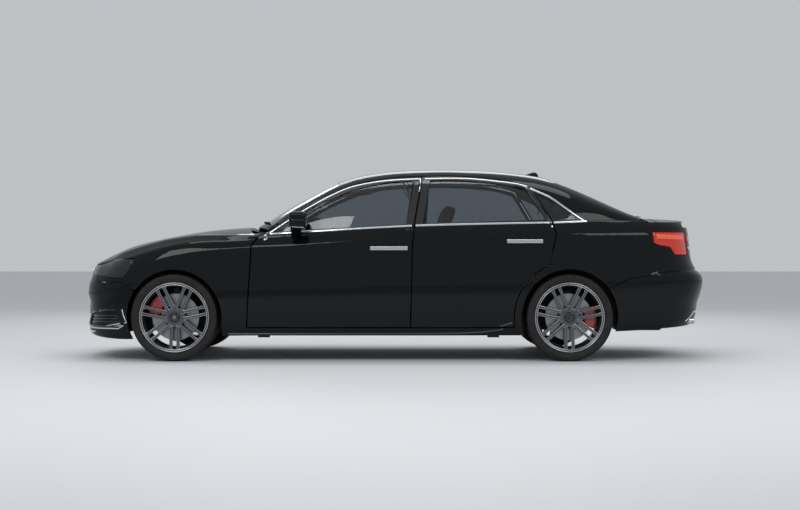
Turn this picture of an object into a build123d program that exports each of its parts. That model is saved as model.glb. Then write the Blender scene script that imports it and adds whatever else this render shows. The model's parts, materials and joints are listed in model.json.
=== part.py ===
from build123d import *
import math
import os

# An executive saloon car at full size, in millimetres, standing on its four wheels.
# X runs from the nose to the tail, Y to the car's right, Z up; the origin is on the ground under the middle
# of the car. Every painted panel is cut from the same two master surfaces, so the panels line up.

# Overall sizes
HALF_WIDTH = 940.0
WHEELBASE = 3062.0
FRONT_AXLE = -1712.0
REAR_AXLE = FRONT_AXLE + WHEELBASE
TRACK = 1570.0

# Wheels
TYRE_RADIUS = 340.0
TYRE_WIDTH = 245.0
RIM_RADIUS = 271.0
SPOKE_PAIRS = 7
SPOKE_WIDTH = 25.0
SPOKE_GAP = 24.0
DISC_RADIUS = 182.0
SPINDLE_RADIUS = 30.0
AXLE_HEIGHT = TYRE_RADIUS
KINGPIN_INSET = 58.0
ARCH_RADIUS = 371.0
WELL_RADIUS = 402.0
WELL_INNER = 476.0

# Panel gaps and thicknesses
GAP = 8.5
DOOR_GAP = 9.0
SEAT_GAP = 0.4
PANEL = 25.0
BUMPER_WALL = 30.0
DOOR_THICK = 110.0
ROOF_THICK = 45.0
FRAME_SKIN = 20.0
GLASS_THICK = 5.0
GLASS_DEPTH = 7.0

# Doors
FRONT_SHUT = -1112.0
SHUT_FOOT = -1150.0
HINGE_SETBACK = 50.0
HINGE_HALF_Y = 916.0
DOOR_BOTTOM = 262.0
PLATE_SCREWS = 480.0
PLATE_HOLE = 2.6
JACK_PADS = (-1020.0, 760.0)
JACK_FACE = 184.0
HOLE_MARGIN = 4.5
HINGE_HEIGHTS = (430.0, 720.0)
PIN_RADIUS = 5.0
TUBE_RADIUS = 10.0

# The plan outline is a superellipse that sweeps back from the nose and forward from the tail.
PLAN_POWER = 6.0
PLAN_SWEEP = 150.0


def along(x, column, stations):
    """The value of a table's column at x, on a smooth curve with no overshoot."""
    xs, ys = stations, column
    if x <= xs[0]:
        return ys[0]
    if x >= xs[-1]:
        return ys[-1]
    n = len(xs)
    d = [(ys[i + 1] - ys[i]) / (xs[i + 1] - xs[i]) for i in range(n - 1)]
    m = [d[0]]
    for i in range(1, n - 1):
        m.append(0.0 if d[i - 1] * d[i] <= 0 else 2 * d[i - 1] * d[i] / (d[i - 1] + d[i]))
    m.append(d[-1])
    i = max(k for k in range(n - 1) if xs[k] <= x)
    h = xs[i + 1] - xs[i]
    s = (x - xs[i]) / h
    return ((1 + 2 * s) * (1 - s) ** 2 * ys[i] + s * (1 - s) ** 2 * h * m[i]
            + s * s * (3 - 2 * s) * ys[i + 1] + s * s * (s - 1) * h * m[i + 1])


# The lower body's section at stations from nose to tail: x, bottom edge, shoulder crease, top edge,
# how far the top edge lies inside the widest line, and how round the shoulder is (0 flat, 1 round).
BODY_COLUMNS = ("x", "bottom", "crease", "top", "inset", "round")
BODY = (
    (-2500, 196, 560, 745, 90, 0.6),
    (-2300, 172, 600, 770, 200, 0.8),
    (-2150, 165, 660, 838, 250, 1.0),
    (-1950, 170, 730, 900, 250, 1.0),
    (-1755, 180, 790, 946, 232, 1.0),
    (-1445, 195, 856, 980, 190, 0.8),
    (-1100, 200, 884, 978, 92, 0.35),
    (-700, 200, 900, 999, 74, 0.15),
    (0, 200, 944, 1037, 68, 0.12),
    (500, 200, 968, 1054, 68, 0.12),
    (1100, 204, 982, 1067, 70, 0.12),
    (1500, 222, 984, 1078, 74, 0.15),
    (1900, 238, 985, 1072, 76, 0.2),
    (2300, 262, 985, 1055, 80, 0.3),
    (2500, 272, 960, 1045, 80, 0.4),
)
CREASE_T = 0.72
SILL_TUCK = 60.0
CREASE_LEAN = 14.0
TAIL_CROWN = 44.0
# How far the nose and the tail reach at each height share t of the section.
NOSE_T = (0.0, 0.06, 0.14, 0.3, 0.5, 0.62, 0.72, 0.8, 1.0)
NOSE_X = (2445, 2492, 2494, 2478, 2486, 2500, 2498, 2478, 2432)
TAIL_T = (0.0, 0.05, 0.17, 0.25, 0.33, 0.4, 0.46, 0.53, 0.72, 0.9, 1.0)
TAIL_X = (2400, 2440, 2458, 2482, 2500, 2490, 2438, 2408, 2385, 2372, 2350)
ROWS = (0, 0.05, 0.11, 0.18, 0.26, 0.34, 0.41, 0.47, 0.53, 0.6, 0.67, 0.705, 0.735, 0.79, 0.86, 0.93, 1.0,
        1.05)
FLANGE_SLOPE = 900.0

STATIONS = [row[0] for row in BODY]


def section(x):
    return {name: along(x, [row[k] for row in BODY], STATIONS) for k, name in enumerate(BODY_COLUMNS)}


def skin(t, c, side):
    """A point of the outer skin: t climbs the section, c runs from the nose (-1) to the tail (1)."""
    s = (1 - abs(c) ** PLAN_POWER) ** (1 / PLAN_POWER)
    past = max(0.0, t - 1) * FLANGE_SLOPE
    t = min(t, 1.0)
    reach = along(t, NOSE_X, NOSE_T) if c < 0 else along(t, TAIL_X, TAIL_T)
    x = c * (reach - PLAN_SWEEP * s * s)
    at = section(x)
    if t <= CREASE_T:
        u = t / CREASE_T
        z = at["bottom"] + (at["crease"] - at["bottom"]) * u
        inset = SILL_TUCK * max(0, 1 - u / 0.45) ** 2 + CREASE_LEAN * (max(0, u - 0.45) / 0.55) ** 2
    else:
        u = (t - CREASE_T) / (1 - CREASE_T)
        soft = at["round"]
        up = u * (1 - soft) + math.sin(u * math.pi / 2) * soft
        inward = u * (1 - soft) + (1 - math.cos(u * math.pi / 2)) * soft
        z = at["crease"] + (at["top"] - at["crease"]) * up
        if c > 0:
            z += TAIL_CROWN * u * (1 - s * s)
        inset = CREASE_LEAN + (at["inset"] - CREASE_LEAN) * inward + past
        z += past * 0.12
        x -= past * c ** 9
    return Vector(x, side * (HALF_WIDTH - inset) * s, z)


def inward(p, depth):
    """The point moved into the body, towards a spine that runs along the car."""
    spine = Vector(p.X * 0.88, p.Y * 0.45, 560)
    return p + (spine - p).normalized() * depth


def slab(outer, inner):
    """A closed solid between two grids of points."""
    faces = [Face.make_surface_from_array_of_points(g, tol=0.5, min_deg=3, max_deg=3) for g in (outer, inner)]
    walls = [Face.make_surface_from_curves(a, b) for a, b in zip(faces[0].edges(), faces[1].edges())]
    made = Solid(Shell([*faces, *walls]))
    return made


def spread(low, high, count):
    return [low + (high - low) * k / (count - 1) for k in range(count)]


def plan_share(c):
    return (1 - min(1.0, abs(c)) ** PLAN_POWER) ** (1 / PLAN_POWER)


def side_stations(c0, c1, count=12, side=-1):
    return [(c, side) for c in spread(c0, c1, count)]


def wrap_stations(c0, c1, count=31):
    """Stations evenly spaced round the nose or the tail, from c0 on the left to c1 on the right."""
    end = 1 if c0 > 0 else -1
    fine = [math.radians(a) for a in spread(-90, 90, 3601)]
    walk = []
    for a in fine:
        c = end * math.cos(a) ** (1 / 3) if abs(a) < 1.5707 else 0.0
        walk.append((c, -1 if a < 0 else 1, plan_share(c)))
    walk = [w for w in walk if abs(w[0]) >= abs(c0 if w[1] < 0 else c1)]
    run = [0.0]
    for p, q in zip(walk, walk[1:]):
        run.append(run[-1] + math.hypot((q[0] - p[0]) * 2400, (q[1] * q[2] - p[1] * p[2]) * HALF_WIDTH))
    picks = []
    for target in spread(0, run[-1], count):
        k = min(range(len(run)), key=lambda i: abs(run[i] - target))
        picks.append((walk[k][0], walk[k][1]))
    return picks


def band(stations, shallow, deep, rows=ROWS):
    """A length of the body's skin between two depths."""
    grids = [[[inward(skin(t, c, side), d) for c, side in stations] for t in rows] for d in (shallow, deep)]
    return slab(*grids)


# The top line of the car along its centre, from the cowl over the roof to the boot
ROOF_X = (-1127, -901, -667, -432, -232, 69, 404, 655, 1020, 1192, 1315, 1519, 1724, 1927, 2009)
ROOF_Z = (1046, 1188, 1313, 1418, 1468, 1501, 1510, 1504, 1473, 1445, 1410, 1331, 1243, 1156, 1128)
# The cabin's base: half width at the belt, height of the belt less a little, and the bend of each hoop
CABIN_X = (-1127, -900, -500, 0, 500, 1000, 1500, 1800, 2009)
CABIN_HALF = (800, 862, 871, 872, 871, 866, 836, 770, 715)
CABIN_BASE = (970, 968, 995, 1022, 1040, 1050, 1062, 1062, 1060)
CABIN_BEND = (170, 130, 60, 0, 0, -30, -110, -150, -160)
CABIN_POWER = 5.0
CABIN_LEAN = 0.35
CABIN_STATIONS = 31
HOOP_POINTS = 29


def hoop(x, depth):
    """Points of one hoop over the cabin, evenly spaced from the left belt over the roof to the right belt."""
    half = along(x, CABIN_HALF, CABIN_X) - depth
    base = along(x, CABIN_BASE, CABIN_X)
    rise = along(x, ROOF_Z, ROOF_X) - base - depth
    bend = along(x, CABIN_BEND, CABIN_X)
    fine = []
    for a in spread(0, math.pi, 401):
        up = max(0.0, math.sin(a)) ** (2 / CABIN_POWER)
        across = math.copysign(abs(math.cos(a)) ** (2 / CABIN_POWER), math.cos(a))
        y = -(half - CABIN_LEAN * rise * up) * across
        fine.append((x + bend * (y / 870) ** 2, y, base + rise * up))
    run = [0.0]
    for p, q in zip(fine, fine[1:]):
        run.append(run[-1] + math.dist(p, q))
    picks = []
    for target in spread(0, run[-1], HOOP_POINTS):
        k = min(max(i for i in range(len(run)) if run[i] <= target + 1e-9), len(fine) - 2)
        share = (target - run[k]) / (run[k + 1] - run[k])
        picks.append(tuple(p + (q - p) * share for p, q in zip(fine[k], fine[k + 1])))
    return picks


def cabin_band(shallow, deep):
    xs = spread(ROOF_X[0], ROOF_X[-1], CABIN_STATIONS)
    return slab(*[[hoop(x, d) for x in xs] for d in (shallow, deep)])


def side_cut(face, y0=-1200.0, y1=-300.0):
    """A side-view outline carried across the left side, from y1 out to y0."""
    return extrude(Plane.XZ.offset(-y1) * face, amount=y1 - y0, dir=(0, -1, 0))


def plan_cut(face, z0, z1):
    return extrude(Plane.XY.offset(z0) * face, amount=z1 - z0, dir=(0, 0, 1))


def front_cut(face, x0, x1):
    return extrude(Plane.YZ.offset(x0) * face, amount=x1 - x0, dir=(1, 0, 0))


def outline(*points):
    return make_face(Polyline(*points, close=True))


def block(x0, x1, y0, y1, z0, z1):
    return Pos((x0 + x1) / 2, (y0 + y1) / 2, (z0 + z1) / 2) * Box(x1 - x0, y1 - y0, z1 - z0)


def barrel(x, z, radius, y0, y1):
    """A cylinder across the car."""
    return Pos(x, (y0 + y1) / 2, z) * Rot(90, 0, 0) * Cylinder(radius, abs(y1 - y0))


def post(x, y, radius, z0, z1):
    return Pos(x, y, (z0 + z1) / 2) * Cylinder(radius, z1 - z0)


def flip(shape):
    return mirror(shape, about=Plane.XZ)


def both(shape):
    return Compound([*shape.solids(), *flip(shape).solids()])


def main_solid(shape):
    """The largest solid, without the slivers that a cut can leave."""
    return max(shape.solids(), key=lambda s: s.volume)


# Side windows: the line of the bright surround, as arcs through three points each
WINDOW_TIP = (-1022, 976)
WINDOW_TAIL = (1491, 1082)


def window_area():
    """The side window area of both doors and the fixed quarter glass, in side view."""
    top = [
        ThreePointArc(WINDOW_TIP, (-700, 1188), (-368, 1342)),
        ThreePointArc((-368, 1342), (-110, 1405), (213, 1428)),
        ThreePointArc((213, 1428), (540, 1427), (860, 1395)),
        ThreePointArc((860, 1395), (1215, 1272), WINDOW_TAIL),
    ]
    belt = ThreePointArc(WINDOW_TAIL, (400, 1052), WINDOW_TIP)
    return make_face([*top, belt])


WINDOW = window_area()
WINDOW_GROWN = offset(WINDOW, 14)
WINDOW_GLASS = offset(WINDOW, -20)
PILLAR_TOP = (217, 1500)
PILLAR_BELT = (146, 1042)
PILLAR_MID = (131, 890)
PILLAR_FOOT = (118, DOOR_BOTTOM)
PILLAR_MARGIN = 66.0
DIVIDER_TOP = (1000, 1420)
DIVIDER_BELT = (1222, 1064)
DIVIDER_MID = (1245, 985)
REAR_DOOR_RADIUS = 432.0
FRONT_HINGE_X = FRONT_SHUT + HINGE_SETBACK
REAR_HINGE_X = PILLAR_MID[0] + HINGE_SETBACK


def front_door_area():
    """The front door's outline in side view, window frame and all."""
    lower = outline((SHUT_FOOT, DOOR_BOTTOM), (FRONT_SHUT, 893), (-1038, 1000), (-700, 1030), (-300, 1050),
                    (PILLAR_BELT[0] + 4, 1066), PILLAR_BELT, PILLAR_MID, PILLAR_FOOT)
    upper = WINDOW_GROWN & outline((-1300, 940), (-1300, 1600), PILLAR_TOP, PILLAR_BELT,
                                   (PILLAR_BELT[0] - 15, 940))
    return lower + upper


def arch_point(radius, degrees, axle_x):
    a = math.radians(degrees)
    return (axle_x + radius * math.cos(a), AXLE_HEIGHT + radius * math.sin(a))


def rear_door_area():
    """The rear door's outline, which follows the rear wheel arch down to the sill."""
    high = arch_point(REAR_DOOR_RADIUS, 112, REAR_AXLE)
    foot = arch_point(REAR_DOOR_RADIUS, 184, REAR_AXLE)
    sill = (foot[0], DOOR_BOTTOM)
    belt = (PILLAR_BELT[0] + 4, 1066)
    shoulder = (1204.5, 1092)
    lower = make_face([
        Line(PILLAR_FOOT, PILLAR_MID), Line(PILLAR_MID, PILLAR_BELT), Line(PILLAR_BELT, belt),
        Line(belt, shoulder),
        Line(shoulder, DIVIDER_BELT), Line(DIVIDER_BELT, DIVIDER_MID), Line(DIVIDER_MID, high),
        ThreePointArc(high, arch_point(REAR_DOOR_RADIUS, 148, REAR_AXLE), foot),
        Line(foot, sill), Line(sill, PILLAR_FOOT),
    ])
    upper = WINDOW_GROWN & outline((PILLAR_BELT[0], 1000), PILLAR_BELT, PILLAR_TOP, (900, 1500), DIVIDER_TOP,
                                   DIVIDER_BELT, (DIVIDER_BELT[0], 1000))
    return lower + upper


def front_glass_area():
    return WINDOW_GLASS & outline((-1200, 900), (-1200, 1600), (PILLAR_TOP[0] - PILLAR_MARGIN, 1500),
                                  (PILLAR_BELT[0] - PILLAR_MARGIN - 20, 900))


def rear_glass_area():
    return WINDOW_GLASS & outline((PILLAR_BELT[0] + PILLAR_MARGIN, 900),
                                  (PILLAR_TOP[0] + PILLAR_MARGIN, 1500),
                                  (DIVIDER_TOP[0] - 34, 1420), (DIVIDER_BELT[0] - 34, 1064),
                                  (DIVIDER_BELT[0] - 34, 900))


def quarter_glass_area():
    return WINDOW_GLASS & outline((DIVIDER_TOP[0] + 20, 1420), (DIVIDER_BELT[0] + 20, 1064),
                                  (DIVIDER_BELT[0] + 20, 900),
                                  (1700, 900), (1700, 1600), (1000, 1600))


# The master bands, built once
CABIN_SKIN = cabin_band(0, FRAME_SKIN)
CABIN_WALL = cabin_band(0, ROOF_THICK)
CABIN_GLASS = cabin_band(GLASS_DEPTH, GLASS_DEPTH + GLASS_THICK)
LEFT_CABIN = block(-1400, 1700, -1000, -300, 900, 1600)
LEFT_FRAME = CABIN_SKIN & LEFT_CABIN
REBATE_Y = -912.0


def front_cone(z0, x0, z1, x1):
    """What the front door's leading edge sweeps between two points of its shut line."""
    reach = [x + DOOR_GAP / 2 - FRONT_HINGE_X for x in (x0, x1)]
    radii = [math.hypot(x, HALF_WIDTH - HINGE_HALF_Y) + 5.5 for x in reach]
    return Pos(FRONT_HINGE_X, -HINGE_HALF_Y, (z0 + z1) / 2) * Cone(radii[0], radii[1], z1 - z0)


# Beside a pillar the door is thin, so that its edge can swing in past the post. Columns: from, to and the
# rebate's depth line.
FRONT_REBATE = ((0, 345, -885), (345, 885, REBATE_Y), (885, 940, -825), (940, 1020, -852))
PILLAR_REBATE = ((0, 345, -885), (345, 925, REBATE_Y), (925, 1075, -862))


def door(area, glass_area, c0, c1, inner_x0, inner_x1, hinge_x, rebate):
    """A left door: one thick lower part, rebated beside both pillars, and a slim window frame."""
    edge = side_cut(offset(area, -DOOR_GAP / 2), y1=-400)
    made = band(side_stations(c0, c1), 0, DOOR_THICK, ROWS[:-1]) & edge
    for z0, z1, y in rebate:
        made = made - block(-1400, inner_x0, y, 0, z0, z1)
    for z0, z1, y in PILLAR_REBATE:
        made = made - block(inner_x1, inner_x1 + 90, y, 0, z0, z1)
    if inner_x1 < REAR_HINGE_X:
        lip = side_cut(offset(area, 1 - DOOR_GAP / 2)) - side_cut(offset(area, -3 - DOOR_GAP / 2), y0=-1300,
                                                                  y1=-200)
        made = made - (lip & block(60, 170, -929, -850, 345, 925))
    made = made + (LEFT_FRAME & edge)
    for z in HINGE_HEIGHTS:
        made = made + block(hinge_x, inner_x0 + 3, -HINGE_HALF_Y - 6, -HINGE_HALF_Y + 6, z, z + 30)
        made = made + post(hinge_x, -HINGE_HALF_Y, TUBE_RADIUS, z, z + 30)
        made = made - post(hinge_x, -HINGE_HALF_Y, PIN_RADIUS + SEAT_GAP, z - 5, z + 35)
        made = made - post(hinge_x, -HINGE_HALF_Y, TUBE_RADIUS + 1, z - 18, z)
        made = made - block(hinge_x - 30, hinge_x + 8, -HINGE_HALF_Y - 7, -HINGE_HALF_Y + 20, z - 18, z)
    return main_solid(made - side_cut(glass_area, y1=-400))


def door_glass(glass_area):
    return main_solid(CABIN_GLASS & side_cut(offset(glass_area, -SEAT_GAP), y1=-400))


def hinge_leaves(hinge_x, post_y):
    """The body's halves of two door hinges, each with its pin."""
    made = []
    for z in HINGE_HEIGHTS:
        leaf = block(hinge_x - 6, hinge_x + 6, -HINGE_HALF_Y, post_y, z - 12.4, z - 0.4)
        leaf = leaf + post(hinge_x, -HINGE_HALF_Y, TUBE_RADIUS, z - 12.4, z - 0.4)
        made.append(leaf + post(hinge_x, -HINGE_HALF_Y, PIN_RADIUS, z - 1, z + 30))
    return made


def tyre():
    """A low-profile tyre with rounded shoulders, on the rim's bead seats."""
    half = TYRE_WIDTH / 2
    bead = RIM_RADIUS - 12
    flange = RIM_RADIUS + 0.6
    tread = TYRE_RADIUS - 1
    return revolve(Plane.XY * make_face([
        Line((bead, 25 - half), (flange, 21 - half)),
        Line((flange, 21 - half), (flange, 11 - half)),
        ThreePointArc((flange, 11 - half), (bead + 38, -half), (TYRE_RADIUS - 16, -half + 8)),
        ThreePointArc((TYRE_RADIUS - 16, -half + 8), (TYRE_RADIUS - 6, -half + 15), (tread, -half + 34)),
        ThreePointArc((tread, -half + 34), (TYRE_RADIUS, 0), (tread, half - 34)),
        ThreePointArc((tread, half - 34), (TYRE_RADIUS - 6, half - 15), (TYRE_RADIUS - 16, half - 8)),
        ThreePointArc((TYRE_RADIUS - 16, half - 8), (bead + 38, half), (flange, half - 11)),
        Line((flange, half - 11), (flange, half - 21)),
        Line((flange, half - 21), (bead, half - 25)),
        Line((bead, half - 25), (bead, 25 - half)),
    ]), Axis.Y)


RIM_SEAT = RIM_RADIUS - 12 - SEAT_GAP
HUB_BACK = 36.0
HUB_RADIUS = 84.0


def rim():
    """An alloy wheel about the Y axis, face towards -Y: a barrel, a hub and pairs of slim spokes."""
    made = revolve(Plane.XY * outline(
        (RIM_SEAT, -99), (RIM_RADIUS, -102), (RIM_RADIUS, -110), (RIM_SEAT - 10, -106), (RIM_SEAT - 22, -66),
        (RIM_SEAT - 26, 90), (RIM_SEAT - 8, 108), (RIM_RADIUS, 110), (RIM_RADIUS, 102), (RIM_SEAT, 99)),
        Axis.Y)
    made = made + revolve(Plane.XY * outline(
        (0, -HUB_BACK), (HUB_RADIUS, -HUB_BACK), (HUB_RADIUS + 4, -58), (HUB_RADIUS - 16, -80), (38, -86),
        (36, -92),
        (0, -94)), Axis.Y)
    arm_side = outline((50, -56), (50, -83), (110, -84), (RIM_SEAT - 50, -98), (RIM_SEAT - 12, -104),
                       (RIM_SEAT - 12, -78), (RIM_SEAT - 60, -72), (110, -54))
    shift = (SPOKE_WIDTH + SPOKE_GAP) / 2
    for pair in range(SPOKE_PAIRS):
        for way in (-1, 1):
            arm = extrude(Plane.XY.offset(way * shift - SPOKE_WIDTH / 2) * arm_side, amount=SPOKE_WIDTH)
            made = made + Rot(0, 90 - 360.0 * pair / SPOKE_PAIRS, 0) * arm
    return made


def brake_disc():
    """A brake disc with its hat and the spindle that turns in the knuckle, face towards -Y."""
    ring = barrel(0, 0, DISC_RADIUS, -16, 12)
    hat = barrel(0, 0, 76, -HUB_BACK + SEAT_GAP, 12) - barrel(0, 0, 66, -HUB_BACK + 10, 20)
    return ring - barrel(0, 0, 70, -20, 20) + hat + barrel(0, 0, SPINDLE_RADIUS, -HUB_BACK + 9, 78)


def knuckle(caliper_angle, kingpins):
    """An upright with its bearing housing and the caliper that straddles the disc."""
    made = barrel(0, 0, 52, 26, 78) + block(-24, 24, 40, 76, -150, 200)
    if kingpins:
        for z0, z1 in ((-176, -149), (199, 226)):
            made = made + post(0, KINGPIN_INSET, 12, z0, z1)
    made = made - barrel(0, 0, SPINDLE_RADIUS + SEAT_GAP, 0, 90)
    wedge = extrude(Plane.XZ.offset(-60) * outline((0, 0), (230, -105), (230, 105)), amount=110)
    caliper = (barrel(0, 0, 216, -46, 42) - barrel(0, 0, 118, -60, 60)) & wedge
    caliper = caliper - barrel(0, 0, DISC_RADIUS + 6, -22, 18)
    bridge = block(45, 150, 26, 42, -24, 24)
    return made + Rot(0, -caliper_angle, 0) * (caliper + bridge)


def placed(shape, axle_x, side):
    """A wheel piece made for the left side, put at its wheel."""
    turned = shape if side < 0 else flip(shape)
    return Pos(axle_x, side * TRACK / 2, AXLE_HEIGHT) * turned


# The bonnet's and the boot lid's tops: a centre line, and a fall to the body side's top edge
BONNET_X = (-2437, -2312, -2170, -2002, -1752, -1543, -1276, -1127, -1000)
BONNET_Z = (747, 822, 885, 931, 981, 1015, 1040, 1046, 1048)
BOOT_X = (1700, 1900, 2009, 2168, 2294, 2350)
BOOT_Z = (1125, 1123, 1120, 1113, 1105, 1097)


def edge_point(x):
    """Where the body side's top edge lies at x: half width and height."""
    low, high = 0.0, 0.99999
    end = -1 if x < 0 else 1
    for _ in range(40):
        mid = (low + high) / 2
        if abs(skin(1.0, end * mid, -1).X) < abs(x):
            low = mid
        else:
            high = mid
    p = skin(1.0, end * low, -1)
    return abs(p.Y), p.Z


def deck(xs, line_x, line_z, half, thick, limit):
    """A crowned deck whose height falls from the centre line to the body side's top edge."""
    rows = []
    for x in xs:
        top = along(x, line_z, line_x)
        y_edge, z_edge = edge_point(max(-limit, min(limit, x)))
        fall = (along(max(-limit, min(limit, x)), line_z, line_x) - z_edge) / y_edge ** 2
        rows.append([(x, y, top - fall * y * y) for y in spread(-half, half, 13)])
    under = [[(x, y, z - thick) for x, y, z in row] for row in rows]
    return slab(rows, under)


def edge_outline(c0, c1, inset, tail_points):
    """The body's top edge round the nose or tail in plan view, moved in and closed through further points."""
    edge = [skin(1.0, c, side) for c, side in wrap_stations(c0, c1, 41)]
    pts = []
    for k, p in enumerate(edge):
        before, after = edge[max(0, k - 1)], edge[min(len(edge) - 1, k + 1)]
        dx, dy = after.X - before.X, after.Y - before.Y
        turn = (1 if c0 < 0 else -1) * inset / math.hypot(dx, dy)
        pts.append((p.X + turn * dy, p.Y - turn * dx))
    more = [pts[-1], *tail_points, pts[0]]
    return make_face([Spline(pts), *[Line(a, b) for a, b in zip(more, more[1:])]])


os.makedirs("parts", exist_ok=True)


def save(name, shape):
    export_step(shape, f"parts/{name}.step")


def save_pair(name, left):
    save(name + "_left", left)
    save(name + "_right", flip(left))


# Doors
front_area = front_door_area()
rear_area = rear_door_area()
front_left = door(front_area, front_glass_area(), -0.53, 0.10, FRONT_HINGE_X + 22, 86, FRONT_HINGE_X,
                  FRONT_REBATE)
rear_left = door(rear_area, rear_glass_area(), 0.02, 0.60, REAR_HINGE_X + 22, 1300, REAR_HINGE_X,
                 PILLAR_REBATE)


def handle(x0, x1, z, skin_y):
    """A pull handle that stands off the door on two feet."""
    bar = fillet(block(x0, x1, -skin_y - 38, -skin_y - 18, z - 15, z + 15).edges(), 7)
    feet = [block(x, x + 30, -skin_y - 24, -skin_y + 40, z - 11, z + 11) for x in (x0 + 6, x1 - 36)]
    return bar + feet[0] + feet[1]


def side_mirror():
    """A door mirror: a rounded shell on a short arm from the window's front corner."""
    shell = fillet(block(-812, -678, -1098, -905, 1030, 1158).edges(), 34)
    face = fillet(block(-690, -660, -1080, -922, 1046, 1142).edges().filter_by(Axis.X), 28)
    arm = extrude(Plane.YZ.offset(-806) * outline((-990, 1052), (-930, 1052), (-846, 985), (-846, 962),
                                                  (-872, 955)), amount=80)
    return (shell - face) + arm


save_pair("front_door", front_left)
save_pair("rear_door", rear_left)
save_pair("front_door_glass", door_glass(front_glass_area()))
save_pair("rear_door_glass", door_glass(rear_glass_area()))
save_pair("front_door_handle", main_solid(handle(-196, 96, 875, 932) - front_left))
save_pair("rear_door_handle", main_solid(handle(858, 1138, 929, 928) - rear_left))
save_pair("door_mirror", main_solid(side_mirror() - front_left))

# Bonnet and boot lid
bonnet_top = deck(spread(-2460, -1020, 25), BONNET_X, BONNET_Z, 860, 22, 2425)
COWL = ThreePointArc((-1078, 900), (-1190, 0), (-1078, -900))
BONNET_HOLE = edge_outline(-0.45, -0.45, 0, [(-1000, 900), (-1000, -900)])
BONNET_PLAN = edge_outline(-0.45, -0.45, GAP, [(-1000, 900), (-1000, -900)])
cowl_cut = make_face([COWL, Line((-1078, -900), (-600, -900)), Line((-600, -900), (-600, 900)),
                      Line((-600, 900), (-1078, 900))])
bonnet = (bonnet_top & plan_cut(BONNET_PLAN, 600, 1200)) - plan_cut(cowl_cut, 600, 1200)
BONNET_HINGE = (-1062, 972)
under_bonnet = deck(spread(-2460, -1020, 25), BONNET_X, BONNET_Z, 860, 300, 2425)
for side in (-1, 1):
    y0, y1 = sorted((side * 754, side * 766))
    x, z = BONNET_HINGE
    lug = side_cut(outline((x - 110, 1060), (x - 50, 1060), (x - 46, z + 8), (x + 10, z + 6),
                           (x + 10, z - 10), (x - 60, z - 12)), y0=y0, y1=y1)
    bonnet = bonnet + (lug & under_bonnet)
    bonnet = bonnet - barrel(x, z, PIN_RADIUS + SEAT_GAP, y0 - 5, y1 + 5)
bonnet = main_solid(bonnet)
save("bonnet", bonnet)

# The boot lid hangs on two gooseneck arms: each hooks down from the lid's front edge, under the
# strip ahead of it, and in to a pin below the rear window.
BOOT_HINGE = (1930, 1080)
BOOT_PIN = 3.0
BOOT_BARREL = 9.0
BOOT_ARM_INNER, BOOT_ARM_OUTER = 120.0, 132.0
BOOT_ARM_FOOT = -78.0
BOOT_ARM_Y = (530.0, 544.0)
BOOT_BRACKET_Y = (544.6, 558.0)
BOOT_SPLIT = 700.0
BOOT_THICK = 22.0
LID_FRONT = 2049.5
STRIP_REAR = LID_FRONT - GAP - 2.5
lid_outline = edge_outline(0.70, 0.70, 0, [(1500, 900), (1500, -900)])
BOOT_HOLE = lid_outline & outline((1960, -900), (2500, -900), (2500, 900), (1960, 900))
BOOT_PLAN = (edge_outline(0.70, 0.70, GAP + 2, [(1500, 900), (1500, -900)])
             & outline((LID_FRONT, -900), (2500, -900), (2500, 900), (LID_FRONT, 900)))
STRIP_PLAN = (edge_outline(0.70, 0.70, SEAT_GAP, [(1500, 900), (1500, -900)])
              & outline((1985, -900), (STRIP_REAR, -900), (STRIP_REAR, 900), (1985, 900)))
LID_HALF = 585.0
tail_wrap = band(wrap_stations(0.36, 0.36, 55), 0, PANEL)
tail_deep = band(wrap_stations(0.80, 0.80, 31), 0, BUMPER_WALL + 30)
lid_hole = plan_cut(BOOT_HOLE, 1000, 1300)
lid_face = front_cut(outline((-LID_HALF, BOOT_SPLIT), (-LID_HALF, 1300), (LID_HALF, 1300),
                             (LID_HALF, BOOT_SPLIT)), 2200, 2600)
lid_edge = front_cut(outline((-LID_HALF + GAP, BOOT_SPLIT + GAP), (-LID_HALF + GAP, 1040),
                             (LID_HALF - GAP, 1040),
                             (LID_HALF - GAP, BOOT_SPLIT + GAP)), 2200, 2600)
under_boot = deck(spread(1940, 2380, 17), BOOT_X, BOOT_Z, 900, 90, 2345)
boot_top = deck(spread(1940, 2380, 17), BOOT_X, BOOT_Z, 900, BOOT_THICK, 2345)
lid = (boot_top & plan_cut(BOOT_PLAN, 700, 1300)) + (tail_deep
                                                     & lid_edge) + ((tail_deep
                                                                     & plan_cut(BOOT_PLAN & outline(
    (LID_FRONT, -579), (2500, -579), (2500, 579), (LID_FRONT, 579)), 1030, 1300)) & under_boot)
strip = boot_top & plan_cut(STRIP_PLAN, 700, 1300)


def about_boot_pin(radius, degrees, across=0.0):
    """Point at a radius and angle about the boot hinge, moved across that direction."""
    x, z = BOOT_HINGE
    a = math.radians(degrees)
    return (x + radius * math.cos(a) - across * math.sin(a), z + radius * math.sin(a) + across * math.cos(a))


def boot_arm(y0, y1):
    """Gooseneck arm: an arc round the strip, and a straight foot from its lower end in to the pin."""
    x, z = BOOT_HINGE
    half = (BOOT_ARM_OUTER - BOOT_ARM_INNER) / 2
    reach = BOOT_ARM_OUTER * 2
    ring = barrel(x, z, BOOT_ARM_OUTER, y0, y1) - barrel(x, z, BOOT_ARM_INNER, y0, y1)
    wedge = outline((x, z), about_boot_pin(reach, 4), about_boot_pin(reach, BOOT_ARM_FOOT / 2),
                    about_boot_pin(reach, BOOT_ARM_FOOT))
    foot = outline(*(about_boot_pin(r, BOOT_ARM_FOOT, c) for r, c in
                     ((0, -half), (BOOT_ARM_OUTER - half, -half), (BOOT_ARM_OUTER - half, half), (0, half))))
    return (ring & side_cut(wedge, y0=y0, y1=y1)) + side_cut(foot, y0=y0, y1=y1) + barrel(x, z, BOOT_BARREL,
                                                                                          y0, y1)


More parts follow.
